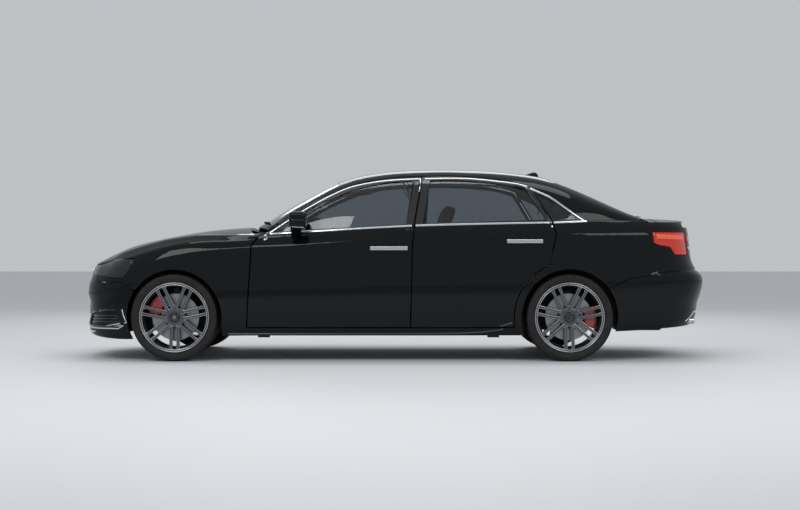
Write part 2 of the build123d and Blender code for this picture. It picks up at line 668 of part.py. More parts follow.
for side in (-1, 1):
    x, z = BOOT_HINGE
    y0, y1 = sorted(side * y for y in BOOT_ARM_Y)
    lid = lid + boot_arm(y0, y1)
    lid = lid - barrel(x, z, BOOT_PIN + SEAT_GAP, y0 - 2, y1 + 2)
    b0, b1 = sorted(side * y for y in BOOT_BRACKET_Y)
    strip = strip + block(x, STRIP_REAR - 8, b0, b1, z - BOOT_BARREL, z + BOOT_BARREL)
    strip = strip + barrel(x, z, BOOT_BARREL, b0, b1)
    strip = strip + barrel(x, z, BOOT_PIN, min(y0, b0), max(y1, b1))
save("boot_lid", main_solid(lid))

# Front: wings, bumper, grille, lamps
nose_wrap = band(wrap_stations(-0.40, -0.40, 57), 0, PANEL)
bonnet_hole = plan_cut(BONNET_HOLE, 640, 1200)
SPLIT_FRONT = 608.0


def headlamp_area(grow=0.0):
    made = make_face([
        Line((-2520, 672), (-2310, 655)), Line((-2310, 655), (-2130, 640)),
        ThreePointArc((-2130, 640), (-2078, 705), (-2032, 800)),
        ThreePointArc((-2032, 800), (-2180, 788), (-2330, 752)),
        Line((-2330, 752), (-2520, 728)), Line((-2520, 728), (-2520, 672)),
    ])
    return offset(made, grow) if grow else made


def lamp_zone(area, y_in):
    """Both sides of a lamp's opening, outboard of y_in."""
    return both(side_cut(area, y1=-y_in))


wing_line = outline((-2350, SPLIT_FRONT + 4), (-2350, 1100), (-1000, 1100), (-1038 - 9, 1002),
                    (FRONT_SHUT - DOOR_GAP / 2 - 1, 895),
                    (SHUT_FOOT - DOOR_GAP / 2 - 1, 262.5), (-1700, 262.5), (-1700, 500), (-2060, 560),
                    (-2120, SPLIT_FRONT + 4))
bumper_line = outline((-2600, 100), (-2600, 1100), (-2358, 1100), (-2354, SPLIT_FRONT),
                      (-2122, SPLIT_FRONT), (-2056, 554),
                      (-1950, 500), (-1950, 100))
front_tyre_hole = barrel(FRONT_AXLE, AXLE_HEIGHT, ARCH_RADIUS, -1000, 1000)
wing = ((nose_wrap - bonnet_hole) & side_cut(wing_line, y1=-300)) - front_tyre_hole
wing = wing - front_cone(200, SHUT_FOOT, 893, FRONT_SHUT)
wing = wing - Pos(FRONT_HINGE_X, -HINGE_HALF_Y, 946) * Cone(57, 8, 107)
wing = wing - side_cut(headlamp_area(), y1=-430)
save("front_wings", both(main_solid(wing)))

GRILLE = ((-350, 700), (-330, 722), (330, 722), (350, 700), (285, 462), (262, 445), (-262, 445), (-285, 462))
INTAKE = ((-360, 245), (-395, 372), (395, 372), (360, 245))
VENT = ((-820, 262), (-800, 400), (-520, 360), (-505, 262))
VENT_DEPTH = 16.0
nose_thick = band(wrap_stations(-0.80, -0.80, 39), 0, BUMPER_WALL)
bumper = (nose_thick - bonnet_hole) & side_cut(bumper_line, y0=-1200, y1=1200)
bumper = bumper - barrel(FRONT_AXLE, AXLE_HEIGHT, ARCH_RADIUS + 5, -1000, 1000)
for shape in (GRILLE, INTAKE):
    bumper = bumper - front_cut(outline(*shape), -2600, -2200)
vent_zone = band(wrap_stations(-0.80, -0.80, 39), -40, VENT_DEPTH) & front_cut(outline(*VENT), -2600, -2050)
bumper = bumper - both(main_solid(vent_zone))
bumper = bumper - lamp_zone(headlamp_area(), 430)
save("front_bumper", main_solid(bumper))

nose_back = band(wrap_stations(-0.92, -0.92, 25), 6, 60)
frame = front_cut(offset(outline(*GRILLE), -SEAT_GAP), -2600,
                  -2200) - front_cut(offset(outline(*GRILLE), -20), -2700, -2100)
grille = nose_back & frame
bars = [front_cut(outline((-340, z), (-340, z + 9), (340, z + 9), (340, z)), -2600,
                  -2200) for z in range(472, 700, 30)]
bars.append(front_cut(outline((-7, 450), (-7, 715), (7, 715), (7, 450)), -2600, -2200))
inside_frame = front_cut(offset(outline(*GRILLE), -19), -2600, -2200)
bar_band = band(wrap_stations(-0.92, -0.92, 25), 16, 44)
for bar in bars:
    grille = grille + (bar_band & inside_frame & bar)
save("grille", main_solid(grille))

lower = bar_band & front_cut(offset(outline(*INTAKE), -SEAT_GAP), -2600, -2200)
holes = [block(-2600, -2200, y, y + 52, z, z + 26) for y in range(-344, 300, 60) for z in (264, 300, 336)]
save("lower_intake", main_solid(lower - Compound(holes)))
lamp_band = band(wrap_stations(-0.78, -0.78, 41), 3, 46)
headlamp = (lamp_band - bonnet_hole) & side_cut(headlamp_area(-SEAT_GAP), y1=-430.4)
save("headlamps", both(main_solid(headlamp)))

# Rear: body sides, bumper, lamps
TAIL_LAMP = ((2000, 1001), (2520, 1001), (2520, 819), (2190, 826), (2150, 884), (2050, 900), (2010, 920))
rear_tyre_hole = barrel(REAR_AXLE, AXLE_HEIGHT, ARCH_RADIUS + 4, -1000, 1000)
rear_bumper_line = outline((1640, 100), (1640, 556), (1800, 634), (2150, BOOT_SPLIT - 6),
                           (2600, BOOT_SPLIT - 4), (2600, 100))
rear_bumper = (band(wrap_stations(0.66, 0.66, 49), 0, BUMPER_WALL)
               & side_cut(rear_bumper_line, y0=-1200, y1=1200)) - rear_tyre_hole
rear_bumper = rear_bumper - front_cut(outline((-270, 470), (-270, 590), (270, 590), (270, 470)), 2470, 2600)
for y in (-PLATE_SCREWS / 2, PLATE_SCREWS / 2):
    rear_bumper = rear_bumper - Pos(2450, y, 530) * Rot(0, 90, 0) * Cylinder(PLATE_HOLE, 120)
save("rear_bumper", main_solid(rear_bumper))

door_holes = side_cut(offset(front_area + rear_area, HOLE_MARGIN), y1=-300)
left_half = block(-1400, 2600, -1000, 0, 0, 1700)
side_low = (band(side_stations(-0.53, 0.66, 23), 0, DOOR_THICK)) & block(-1147 + 4, 1500, -1000, -300, 190,
                                                                         1120)
side_low = side_low - door_holes
low_keep = side_cut(outline((SHUT_FOOT - 190, 190), (SHUT_FOOT - 190, 262), (SHUT_FOOT, 262), (-1040, 262),
                            (1500, 262), (1500, 190)), y1=-300)
sill = band(side_stations(-0.58, 0.52, 23), 0, DOOR_THICK) & low_keep
quarter_line = outline((870, 262), (870, 1200), (2600, 1200), (2600, BOOT_SPLIT), (2150, BOOT_SPLIT - 2),
                       (1798, 638),
                       (1640, 561), (1640, 262))
quarter = (((tail_wrap - lid_hole) & left_half) & side_cut(quarter_line,
                                                           y1=0)) - door_holes - rear_tyre_hole - lid_face
quarter = quarter - side_cut(outline(*TAIL_LAMP), y1=-600)
quarter = main_solid(quarter)
sill = main_solid((sill - door_holes) - rear_tyre_hole - front_tyre_hole)
WINDSCREEN = make_face([
    ThreePointArc((-968, -738), (-1097, 0), (-968, 738)), Line((-968, 738), (-450, 600)),
    ThreePointArc((-450, 600), (-474, 0), (-450, -600)), Line((-450, -600), (-968, -738)),
])
REAR_WINDOW = make_face([
    ThreePointArc((1215, 560), (1262, 0), (1215, -560)), Line((1215, -560), (1900, -615)),
    ThreePointArc((1900, -615), (1975, 0), (1900, 615)), Line((1900, 615), (1215, 560)),
])
ROOF = make_face([
    ThreePointArc((-450, -600), (-474, 0), (-450, 600)), Line((-450, 600), (1215, 560)),
    ThreePointArc((1215, 560), (1262, 0), (1215, -560)), Line((1215, -560), (-450, -600)),
])
windscreen_hole = plan_cut(WINDSCREEN, 900, 1600)
rear_window_hole = plan_cut(REAR_WINDOW, 1000, 1600)
roof_hole = plan_cut(ROOF, 1200, 1600)
save("windscreen", main_solid(CABIN_GLASS & plan_cut(offset(WINDSCREEN, -SEAT_GAP), 900, 1600)))
save("rear_window", main_solid(CABIN_GLASS & plan_cut(offset(REAR_WINDOW, -SEAT_GAP), 1000, 1600)))
save("roof", main_solid(CABIN_WALL & roof_hole))
upper = (CABIN_WALL & block(-1200, 2100, -1000, 0, 900,
                            1600)) - windscreen_hole - rear_window_hole - roof_hole - door_holes
upper = upper - side_cut(quarter_glass_area(), y1=-300)
upper = upper - side_cut(outline((-1200, 900), (-1200, 1010), (-1047, 1006), (-1030, 960), (-900, 900)),
                         y1=-300)
wing = main_solid(wing)
x, z = BOOT_HINGE
arm_relief = block(x - 2 * BOOT_BARREL, x + 60, -BOOT_ARM_Y[1] - 6, -BOOT_ARM_Y[0] + 6, z - 40, z
                   + BOOT_BARREL + 6)
upper = main_solid(upper - quarter - wing - arm_relief)
save("quarter_glass", both(main_solid(CABIN_GLASS & side_cut(offset(quarter_glass_area(), -SEAT_GAP),
                                                             y1=-300))))
save("upper_frames", both(upper))
save("quarter_panels", both(quarter))
for x in JACK_PADS:
    sill = sill + block(x - 45, x + 45, -858, -802, JACK_FACE, 250)
save("sills", both(sill))
rear_screen = CABIN_WALL & block(1100, 2100, -1000, 1000, 1000, 1600)
strip = main_solid(strip - rear_screen - quarter - flip(quarter))
save("rear_deck_strip", strip)
tail_lamp_band = band(wrap_stations(0.60, 0.60, 49), 3, PANEL + 8)
tail_lamp = (tail_lamp_band - lid_hole) & side_cut(offset(outline(*TAIL_LAMP), -SEAT_GAP), y1=-600.4)
save("tail_lamps", both(main_solid(tail_lamp)))

# Wheels
for axle, name in ((FRONT_AXLE, "front"), (REAR_AXLE, "rear")):
    for side, hand in ((-1, "left"), (1, "right")):
        save(f"{name}_tyre_{hand}", placed(tyre(), axle, side))
        save(f"{name}_rim_{hand}", placed(rim(), axle, side))
        save(f"{name}_disc_{hand}", placed(brake_disc(), axle, side))
save("front_knuckle_left", placed(knuckle(150, True), FRONT_AXLE, -1))
save("front_knuckle_right", placed(knuckle(150, True), FRONT_AXLE, 1))

# Floor, firewall, tunnel and the panels round the boot
COWL_DROP = 50.0
cowl_line = [z - COWL_DROP for z in BONNET_Z]
under_cowl = deck(spread(-1300, -900, 9), BONNET_X, [z - 8 for z in cowl_line], 900, 900, 1020)
cowl_tray = deck(spread(-1300, -900, 9), BONNET_X, cowl_line, 900, 8, 1020)
cowl_zone = make_face([
    ThreePointArc((-1105, 740), (-1181, 0), (-1105, -740)), Line((-1105, -740), (-950, -740)),
    Line((-950, -740), (-950, 740)), Line((-950, 740), (-1105, 740)),
])
cowl = main_solid((cowl_tray & plan_cut(cowl_zone, 800, 1100)) - CABIN_WALL - both(wing) - both(upper))
save("cowl_tray", cowl)
REAR_FLOOR = 300.0
HOUSE_INNER = 560.0
floor = block(-1300, 1000, -800, 800, 196, 216) + block(980, 1000, -800, 800, 196, REAR_FLOOR + 20)
HOUSE_WALL = 5.0
FLOOR_EDGE = HOUSE_INNER - HOUSE_WALL - SEAT_GAP
boot_floor = block(980, 2420, -FLOOR_EDGE, FLOOR_EDGE, REAR_FLOOR, REAR_FLOOR + 20)
boot_floor = boot_floor + block(1740, 2350, -760, 760, REAR_FLOOR, REAR_FLOOR + 20)
floor = floor + main_solid(boot_floor - band(wrap_stations(0.60, 0.60, 49), -200, BUMPER_WALL + SEAT_GAP))
floor = floor - barrel(FRONT_AXLE, AXLE_HEIGHT, WELL_RADIUS + 5, -1000, 1000)
floor = floor + block(-1300, 981, -130, 130, 205, 330) - block(-1301, 960, -100, 100, 100, 300)
floor = floor + (block(-1075, -1050, -778, 778, 205, 1100) & under_cowl)
floor = floor + block(1690, 1715, -FLOOR_EDGE, FLOOR_EDGE, REAR_FLOOR, 1010)
well = barrel(REAR_AXLE, AXLE_HEIGHT, WELL_RADIUS, -1000, -HOUSE_INNER)
house = barrel(REAR_AXLE, AXLE_HEIGHT, WELL_RADIUS + HOUSE_WALL, -885, HOUSE_WALL - HOUSE_INNER) - well
house = house & block(900, 1800, -900, -500, 262, 800)
floor = floor - both(well)
floor = (floor - both(sill) - both(quarter)) - rear_bumper - cowl
floor = floor - both(block(-1090, -1040, -790, -640, 900, 1100))
for side in (-1, 1):
    y0, y1 = sorted((side * 768.5, side * 778))
    floor = floor + block(BONNET_HINGE[0] - 12, -1050, y0, y1, 850, BONNET_HINGE[1] + 8)
    y0, y1 = sorted((side * 750, side * 778))
    floor = floor + barrel(BONNET_HINGE[0], BONNET_HINGE[1], PIN_RADIUS, y0, y1)
floor = main_solid(floor)
save("floor_pan", floor)
save("rear_wheel_houses", both(main_solid(house - floor - sill - quarter - rear_bumper)))

# Door posts, each with the body's halves of the hinges
POST_FOOT = DOOR_BOTTOM - HOLE_MARGIN + 0.3
# Columns: hinge x, outer y, inner y, from z, to z
POSTS = (
    (FRONT_HINGE_X, -836, -778, 350, 880),
    (FRONT_HINGE_X, -820, -778, POST_FOOT, 351),
    (REAR_HINGE_X, -852, -778, 350, 920),
    (REAR_HINGE_X, -843, -778, POST_FOOT, 351),
    (REAR_HINGE_X, -822, -770, 919, 1062),
)
posts = block(FRONT_HINGE_X - 27, FRONT_HINGE_X + 15, -790, -778, POST_FOOT, 880)
for hinge_x, y0, y1, z0, z1 in POSTS:
    posts = posts + block(hinge_x - 27, hinge_x + 15, y0, y1, z0, z1)
for leaf in hinge_leaves(FRONT_HINGE_X, -834) + hinge_leaves(REAR_HINGE_X, -850):
    posts = posts + leaf
front_post = main_solid(posts & block(-1300, -900, -1000, 0, 0, 1600))
rear_post = main_solid(posts & block(0, 400, -1000, 0, 0, 1600))
pillar = cabin_band(ROOF_THICK + 8, ROOF_THICK + 34) & side_cut(outline((150, 960), (150, 1600),
                                                                        (275, 1600), (240, 960)), y1=-590)
rear_post = main_solid((rear_post + pillar) - both(upper))
save("front_door_posts", both(front_post))
save("rear_door_posts", both(rear_post))

# Chassis
front_houses = barrel(FRONT_AXLE, AXLE_HEIGHT, WELL_RADIUS + 5, -880, -WELL_INNER + 5)
front_houses = front_houses - barrel(FRONT_AXLE, AXLE_HEIGHT, WELL_RADIUS, -1000, -WELL_INNER)
front_houses = (front_houses + (barrel(FRONT_AXLE, AXLE_HEIGHT, WELL_RADIUS + 5, -930, -870)
                                - barrel(FRONT_AXLE, AXLE_HEIGHT, WELL_RADIUS, -1000,
                                         -WELL_INNER))) & block(-2200, -1200, -930, -400, 216, 900)
front_houses = (front_houses - band(wrap_stations(-0.40, -0.40, 57), -60, PANEL - 3,
                                    ROWS[:-1])) - wing - bumper - sill
front_houses = front_houses - block(-1742, -1682, -480, -435, 395, 567)
save("front_wheel_houses", both(main_solid(front_houses)))
rails = both(block(-2330, -1075, -WELL_INNER + 5, -410, 400, 480))
front_frame = rails + block(-2360, -2330, -540, 540, 400, 500)
front_frame = front_frame + block(-1800, -1624, -WELL_INNER + 5, WELL_INNER - 5, 200, 250)
front_frame = front_frame + both(block(-1760, -1664, -WELL_INNER + 5, -430, 240, 410))
lower_arm = block(-1712 - 26, -1712 + 26, -TRACK / 2 + KINGPIN_INSET - 26, -450, 150, 186)
upper_arm = block(-1712 - 20, -1712 + 20, -TRACK / 2 + KINGPIN_INSET - 20, -450, 544, 562)
upper_arm = upper_arm + block(-1732, -1692, -471, -440, 400, 562)
arms = both(lower_arm + block(-1738, -1686, -475, -440, 150, 210)) + both(upper_arm)
for side in (-1, 1):
    y = side * (TRACK / 2 - KINGPIN_INSET)
    arms = arms - post(FRONT_AXLE, y, 12 + SEAT_GAP, 100, 600)
save("front_frame", main_solid(front_frame + arms))
save("engine_block", block(-2040, -1420, -230, 230, 250, 800))
rear_frame = block(1290, 1410, -540, 540, 230, REAR_FLOOR)
carriers = both(placed(knuckle(0, False), REAR_AXLE, -1))
rear_arm = both(block(1324, 1376, -TRACK / 2 + 60, -530, 230, 262))
save("rear_suspension", main_solid(rear_frame + rear_arm + carriers))
save("exhaust", fillet(block(1760, 2140, -430, -210, 215, REAR_FLOOR).edges(), 25))

save("fuel_tank", fillet(block(1010, 1250, -470, 470, 222, REAR_FLOOR).edges(), 15))

# Cabin
dash = extrude(Plane.XZ.offset(-700) * outline((-1050, 560), (-1050, 900), (-960, 925), (-760, 905),
                                               (-690, 850), (-700, 700), (-800, 600)), amount=1400)
save("dashboard", dash)
wheel_tilt = Pos(-590, -380, 800) * Rot(0, 66, 0)
steering = wheel_tilt * Torus(178, 13)
steering = steering + wheel_tilt * Cylinder(48, 34)
for a in (0, 90, 180):
    steering = steering + wheel_tilt * Rot(0, 0, a + 90) * Pos(100, 0, 0) * Box(150, 26, 12)
column = Pos(-590, -380, 800) * Rot(0, 66, 0) * Pos(0, 0, -90) * Cylinder(28, 160)
save("steering_wheel", main_solid((steering + column) - dash))
cushion = fillet(block(-380, 150, -630, -150, 250, 430).edges(), 40)
back = fillet((Pos(130, -390, 430) * Rot(0, 22, 0) * Pos(0, 0, 330) * Box(130, 470, 700)).edges(), 40)
head = fillet((Pos(130, -390, 430) * Rot(0, 22, 0) * Pos(0, 0, 760) * Box(90, 270, 170)).edges(), 30)
base = block(-350, 120, -560, -220, 216, 300)
save("front_seats", both(main_solid(cushion + back + head + base)))
bench = fillet(block(680, 1250, -545, 545, 240, 440).edges(), 40)
bench_back = fillet((Pos(1230, 0, 430) * Rot(0, 24, 0) * Pos(0, 0, 300) * Box(140, 1080, 640)).edges(), 40)
heads = [fillet((Pos(1230, y, 430) * Rot(0, 24, 0) * Pos(0, 0, 680) * Box(90, 260, 150)).edges(),
                30) for y in (-380, 0, 380)]
bench_all = bench + bench_back + heads[0] + heads[1] + heads[2] + block(720, 979, -520, 520, 216, 300)
bench_all = bench_all - block(979.6, 1800, -700, 700, 100, REAR_FLOOR + 20) - block(600, 982, -131, 131,
                                                                                    100, 331)
save("rear_bench", main_solid(bench_all))
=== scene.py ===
# %% [markdown]
# # Dressing a black executive saloon
# The CAD model is the frame: every panel, pane, seat and wheel is already at its true place, in metres, with +X
# towards the tail, +Y to the car's right and +Z up. This lesson gives the panels real finishes, and adds what a
# stylist draws by hand: bright trim, lamps, tyres with tread, padded seats and small fittings.

# %% Load the frame
import bpy
import bmesh
import json
import math
import random
from mathutils import Matrix, Vector, noise
from mathutils.bvhtree import BVHTree


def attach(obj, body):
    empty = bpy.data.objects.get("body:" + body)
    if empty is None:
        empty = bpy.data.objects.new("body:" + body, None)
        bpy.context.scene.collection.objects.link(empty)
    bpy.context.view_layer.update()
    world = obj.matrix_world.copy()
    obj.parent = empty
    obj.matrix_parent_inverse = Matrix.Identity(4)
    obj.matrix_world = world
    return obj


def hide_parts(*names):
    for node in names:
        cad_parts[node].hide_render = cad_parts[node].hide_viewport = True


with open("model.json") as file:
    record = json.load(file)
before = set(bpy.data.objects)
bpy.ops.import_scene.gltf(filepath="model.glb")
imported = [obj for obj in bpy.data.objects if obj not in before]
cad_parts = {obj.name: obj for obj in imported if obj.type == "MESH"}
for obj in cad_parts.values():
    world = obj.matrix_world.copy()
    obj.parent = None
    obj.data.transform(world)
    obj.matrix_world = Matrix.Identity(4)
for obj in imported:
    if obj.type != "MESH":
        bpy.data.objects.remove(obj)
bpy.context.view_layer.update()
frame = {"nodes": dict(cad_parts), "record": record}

nodes = frame["nodes"]

# %% [markdown]
# ## Named sizes
# They repeat the driving sizes of the CAD source: axle places, track, tyre and rim radii.

# %% Sizes, in metres
FRONT_AXLE = -1.712
REAR_AXLE = 1.350
AXLE_HEIGHT = 0.340
TRACK_HALF = 0.785
TYRE_RADIUS = 0.340
TYRE_HALF_WIDTH = 0.1225
RIM_RADIUS = 0.271
LEFT, RIGHT = -1, 1
HANDS = ((LEFT, "left"), (RIGHT, "right"))
AXLES = ((FRONT_AXLE, "front"), (REAR_AXLE, "rear"))
BELT = ((-1.022, 0.975), (-0.898, 0.983), (-0.664, 0.999), (-0.30, 1.020), (0.052, 1.039), (0.293, 1.049),
        (0.650, 1.057), (0.95, 1.063), (1.219, 1.068), (1.491, 1.080))
RAIL = ((-1.022, 0.975), (-0.900, 1.057), (-0.725, 1.172), (-0.545, 1.274), (-0.368, 1.355), (-0.187, 1.397),
        (-0.005, 1.418), (0.213, 1.427), (0.540, 1.430), (0.781, 1.409), (0.984, 1.379), (1.103, 1.328),
        (1.212, 1.278), (1.316, 1.205), (1.405, 1.139), (1.491, 1.083))

# %% [markdown]
# ## The camera and the studio
# The photograph is a side view from twelve metres with a long lens, the horizon a little above the middle. The
# floor and the backdrop are plain and pale, and three broad soft lamps light the car.

# %% Camera
scene = bpy.context.scene
camera = bpy.data.objects.new("camera", bpy.data.cameras.new("camera"))
scene.collection.objects.link(camera)
camera.location = (0.036, -12.925, 0.901)
camera.rotation_euler = (math.pi / 2, 0, 0)
camera.data.lens = 70
camera.data.sensor_width = 36
camera.data.shift_y = -0.0125
scene.camera = camera
scene.view_settings.view_transform = "Standard"


# %% Helpers for colour, nodes and materials
def colour(code):
    """An sRGB hex colour as linear red, green, blue and alpha."""
    parts = [int(code[i:i + 2], 16) / 255 for i in (1, 3, 5)]
    return (*[p / 12.92 if p <= 0.04045 else ((p + 0.055) / 1.055) ** 2.4 for p in parts], 1.0)


def add(tree, kind, inputs=None, **settings):
    """One node: settings are its properties, inputs its sockets by name or number, a value or another node's output."""
    made = tree.nodes.new(kind)
    for name, value in settings.items():
        setattr(made, name, value)
    for name, value in (inputs or {}).items():
        if isinstance(value, bpy.types.NodeSocket):
            tree.links.new(value, made.inputs[name])
        else:
            made.inputs[name].default_value = value
    return made


def finish(name, base, roughness, metallic=0.0, **sockets):
    """A Principled material of that colour. The sockets' names are written with underscores."""
    made = bpy.data.materials.new(name)
    made.use_nodes = True
    shader = made.node_tree.nodes["Principled BSDF"]
    shader.inputs["Base Color"].default_value = colour(base)
    shader.inputs["Roughness"].default_value = roughness
    shader.inputs["Metallic"].default_value = metallic
    for socket, value in sockets.items():
        shader.inputs[socket.replace("_", " ")].default_value = value
    made.diffuse_color = colour(base)
    return made, made.node_tree, shader


def pattern(tree, size_mm, detail=3.0, stretch=(1, 1, 1), kind="ShaderNodeTexNoise", **settings):
    """A procedural pattern whose features are about size_mm across, in object coordinates."""
    place = add(tree, "ShaderNodeTexCoord")
    scaled = add(tree, "ShaderNodeMapping", {"Vector": place.outputs["Object"], "Scale": stretch})
    inputs = {"Vector": scaled.outputs["Vector"], "Scale": 1000.0 / size_mm}
    if kind == "ShaderNodeTexNoise":
        inputs["Detail"] = detail
    return add(tree, kind, inputs, **settings)


def bump(tree, shader, height, depth_mm, strength=1.0):
    """Raises the surface by height times depth_mm."""
    made = add(tree, "ShaderNodeBump", {"Height": height, "Distance": depth_mm / 1000.0, "Strength": strength})
    tree.links.new(made.outputs["Normal"], shader.inputs["Normal"])
    return made


def vary(tree, factor, low, high):
    """factor, 0 to 1, as a number between low and high."""
    return add(tree, "ShaderNodeMapRange", {"Value": factor, "To Min": low, "To Max": high}).outputs["Result"]


def blend_colours(tree, factor, first, second):
    """A mix of two hex colours."""
    made = add(tree, "ShaderNodeMix", {"Factor": factor}, data_type="RGBA")
    made.inputs[6].default_value = colour(first)
    made.inputs[7].default_value = colour(second)
    return made.outputs[2]


# %% [markdown]
# ## Finishes
# Each material is named for the real finish. The scales are the real ones: orange peel in lacquer is about 6 mm
# across, metal flake under half a millimetre, leather grain 1.6 mm, and rolled rubber 2 mm.

# %% Black lacquer: a near-black base with a faint flake, under a clear coat with a little orange peel
# The base coat has no gloss of its own, so only the clear coat mirrors the studio and the panels stay black.
black_paint, tree, shader = finish("gloss_black_paint", "#050607", 0.5, Specular_IOR_Level=0.0, Coat_Weight=0.62,
                                   Coat_Roughness=0.02, Coat_IOR=1.42)
flake = pattern(tree, 0.5, 2.0)
tree.links.new(blend_colours(tree, vary(tree, flake.outputs["Fac"], -0.6, 1.3), "#030405", "#0D0F13"),
               shader.inputs["Base Color"])
peel = pattern(tree, 9.0, 1.0)
made = add(tree, "ShaderNodeBump", {"Height": peel.outputs["Fac"], "Distance": 0.00004, "Strength": 0.35})
tree.links.new(made.outputs["Normal"], shader.inputs["Coat Normal"])
haze = pattern(tree, 240.0, 4.0)
tree.links.new(vary(tree, haze.outputs["Fac"], 0.45, 0.60), shader.inputs["Roughness"])

# %% Bright trim: polished stainless strip with the faint drawn lines of rolling, and finger haze
bright_trim, tree, shader = finish("polished_stainless", "#DADCDF", 0.12, 1.0)
drawn = pattern(tree, 1.2, 2.0, stretch=(0.04, 1, 1))
haze = pattern(tree, 60.0, 4.0)
tree.links.new(vary(tree, haze.outputs["Fac"], 0.07, 0.20), shader.inputs["Roughness"])
bump(tree, shader, drawn.outputs["Fac"], 0.01, 0.25)

# %% Satin chrome for handles and pipe ends
satin_chrome, tree, shader = finish("satin_chrome", "#C9CBCE", 0.2, 1.0)
haze = pattern(tree, 30.0, 4.0)
tree.links.new(vary(tree, haze.outputs["Fac"], 0.12, 0.27), shader.inputs["Roughness"])

# %% Tinted glass: grey in the mass, smooth faces, with a breath of dust in the roughness
tinted_glass, tree, shader = finish("tinted_glass", "#9AA2A8", 0.0, Transmission_Weight=1.0, IOR=1.5)
dust = pattern(tree, 90.0, 6.0)
tree.links.new(vary(tree, dust.outputs["Fac"], 0.0, 0.025), shader.inputs["Roughness"])

# %% Clear lens: moulded polycarbonate
clear_lens, tree, shader = finish("clear_polycarbonate", "#E9EDF0", 0.01, Transmission_Weight=1.0, IOR=1.45)
wave = pattern(tree, 45.0, 1.0)
bump(tree, shader, wave.outputs["Fac"], 0.05, 0.3)

# %% Red lens: ruby acrylic with moulded optic ribs seen through a glossy skin
red_lens, tree, shader = finish("ruby_acrylic", "#B01A14", 0.16, Coat_Weight=1.0, Coat_Roughness=0.02,
                                Subsurface_Weight=0.25, Subsurface_Scale=0.01)
shader.inputs["Emission Color"].default_value = colour("#C8241A")
shader.inputs["Emission Strength"].default_value = 0.12
ribs = pattern(tree, 14.0, kind="ShaderNodeTexWave", wave_type="BANDS", bands_direction="Z")
cells = pattern(tree, 6.0, kind="ShaderNodeTexVoronoi")
tree.links.new(blend_colours(tree, cells.outputs["Distance"], "#D0281C", "#7E100E"), shader.inputs["Base Color"])
bump(tree, shader, ribs.outputs["Fac"], 0.8, 0.5)

# %% Amber-red lens for the upper strip of the tail lamp
amber_lens, tree, shader = finish("amber_acrylic", "#E2502C", 0.14, Coat_Weight=1.0, Coat_Roughness=0.02)
shader.inputs["Emission Color"].default_value = colour("#E8582E")
shader.inputs["Emission Strength"].default_value = 0.18
cells = pattern(tree, 5.0, kind="ShaderNodeTexVoronoi")
tree.links.new(blend_colours(tree, cells.outputs["Distance"], "#F06A3E", "#B83A1E"), shader.inputs["Base Color"])
bump(tree, shader, cells.outputs["Distance"], 0.6, 0.6)

# %% Lamp bowl: black chrome inside a headlamp
lamp_bowl, tree, shader = finish("black_chrome", "#24262A", 0.16, 0.9)
flow = pattern(tree, 20.0, 2.0)
tree.links.new(vary(tree, flow.outputs["Fac"], 0.1, 0.26), shader.inputs["Roughness"])

# %% Daytime running strip: a white light guide
light_guide, tree, shader = finish("white_light_guide", "#EEF2F6", 0.2, Coat_Weight=1.0)
shader.inputs["Emission Color"].default_value = colour("#F2F6FF")
shader.inputs["Emission Strength"].default_value = 1.6
notch = pattern(tree, 7.0, kind="ShaderNodeTexWave", wave_type="BANDS", bands_direction="X")
bump(tree, shader, notch.outputs["Fac"], 0.4, 0.5)

# %% Piano black for pillars, the grille and the lower edge
piano_black, tree, shader = finish("piano_black_plastic", "#060607", 0.1, Coat_Weight=0.6, Coat_Roughness=0.03)
swirl = pattern(tree, 35.0, 5.0)
tree.links.new(vary(tree, swirl.outputs["Fac"], 0.06, 0.16), shader.inputs["Roughness"])

# %% Grained black plastic for the underside, wheel houses and cowl
grained_plastic, tree, shader = finish("grained_black_plastic", "#17181A", 0.62)
grain = pattern(tree, 1.8, kind="ShaderNodeTexVoronoi")
bump(tree, shader, grain.outputs["Distance"], 0.15, 0.6)
dust = pattern(tree, 160.0, 5.0)
tree.links.new(blend_colours(tree, vary(tree, dust.outputs["Fac"], -0.4, 1.2), "#121314", "#24241F"),
               shader.inputs["Base Color"])

# %% Tyre rubber: carbon black, dull, with a bloom of road dust
tyre_rubber, tree, shader = finish("tyre_rubber", "#141416", 0.72, Specular_IOR_Level=0.35)
dust = pattern(tree, 55.0, 6.0)
tree.links.new(blend_colours(tree, vary(tree, dust.outputs["Fac"], -0.5, 1.2), "#0F0F11", "#26251F"),
               shader.inputs["Base Color"])
roll = pattern(tree, 2.0, 4.0)
bump(tree, shader, roll.outputs["Fac"], 0.12, 0.6)

# %% Gunmetal alloy: powder-coated cast wheel with a fine sparkle
gunmetal, tree, shader = finish("gunmetal_alloy", "#4C4F53", 0.34, 0.85, Coat_Weight=0.3, Coat_Roughness=0.08)
speck = pattern(tree, 0.8, 2.0)
tree.links.new(blend_colours(tree, speck.outputs["Fac"], "#3C3E42", "#626569"), shader.inputs["Base Color"])

# %% Turned alloy: the bright lathe-cut lip and spoke edges
turned_alloy, tree, shader = finish("turned_alloy", "#A4A7AB", 0.24, 1.0)
lathe_lines = pattern(tree, 0.9, 1.0)
bump(tree, shader, lathe_lines.outputs["Fac"], 0.03, 0.4)
tree.links.new(vary(tree, lathe_lines.outputs["Fac"], 0.16, 0.30), shader.inputs["Roughness"])


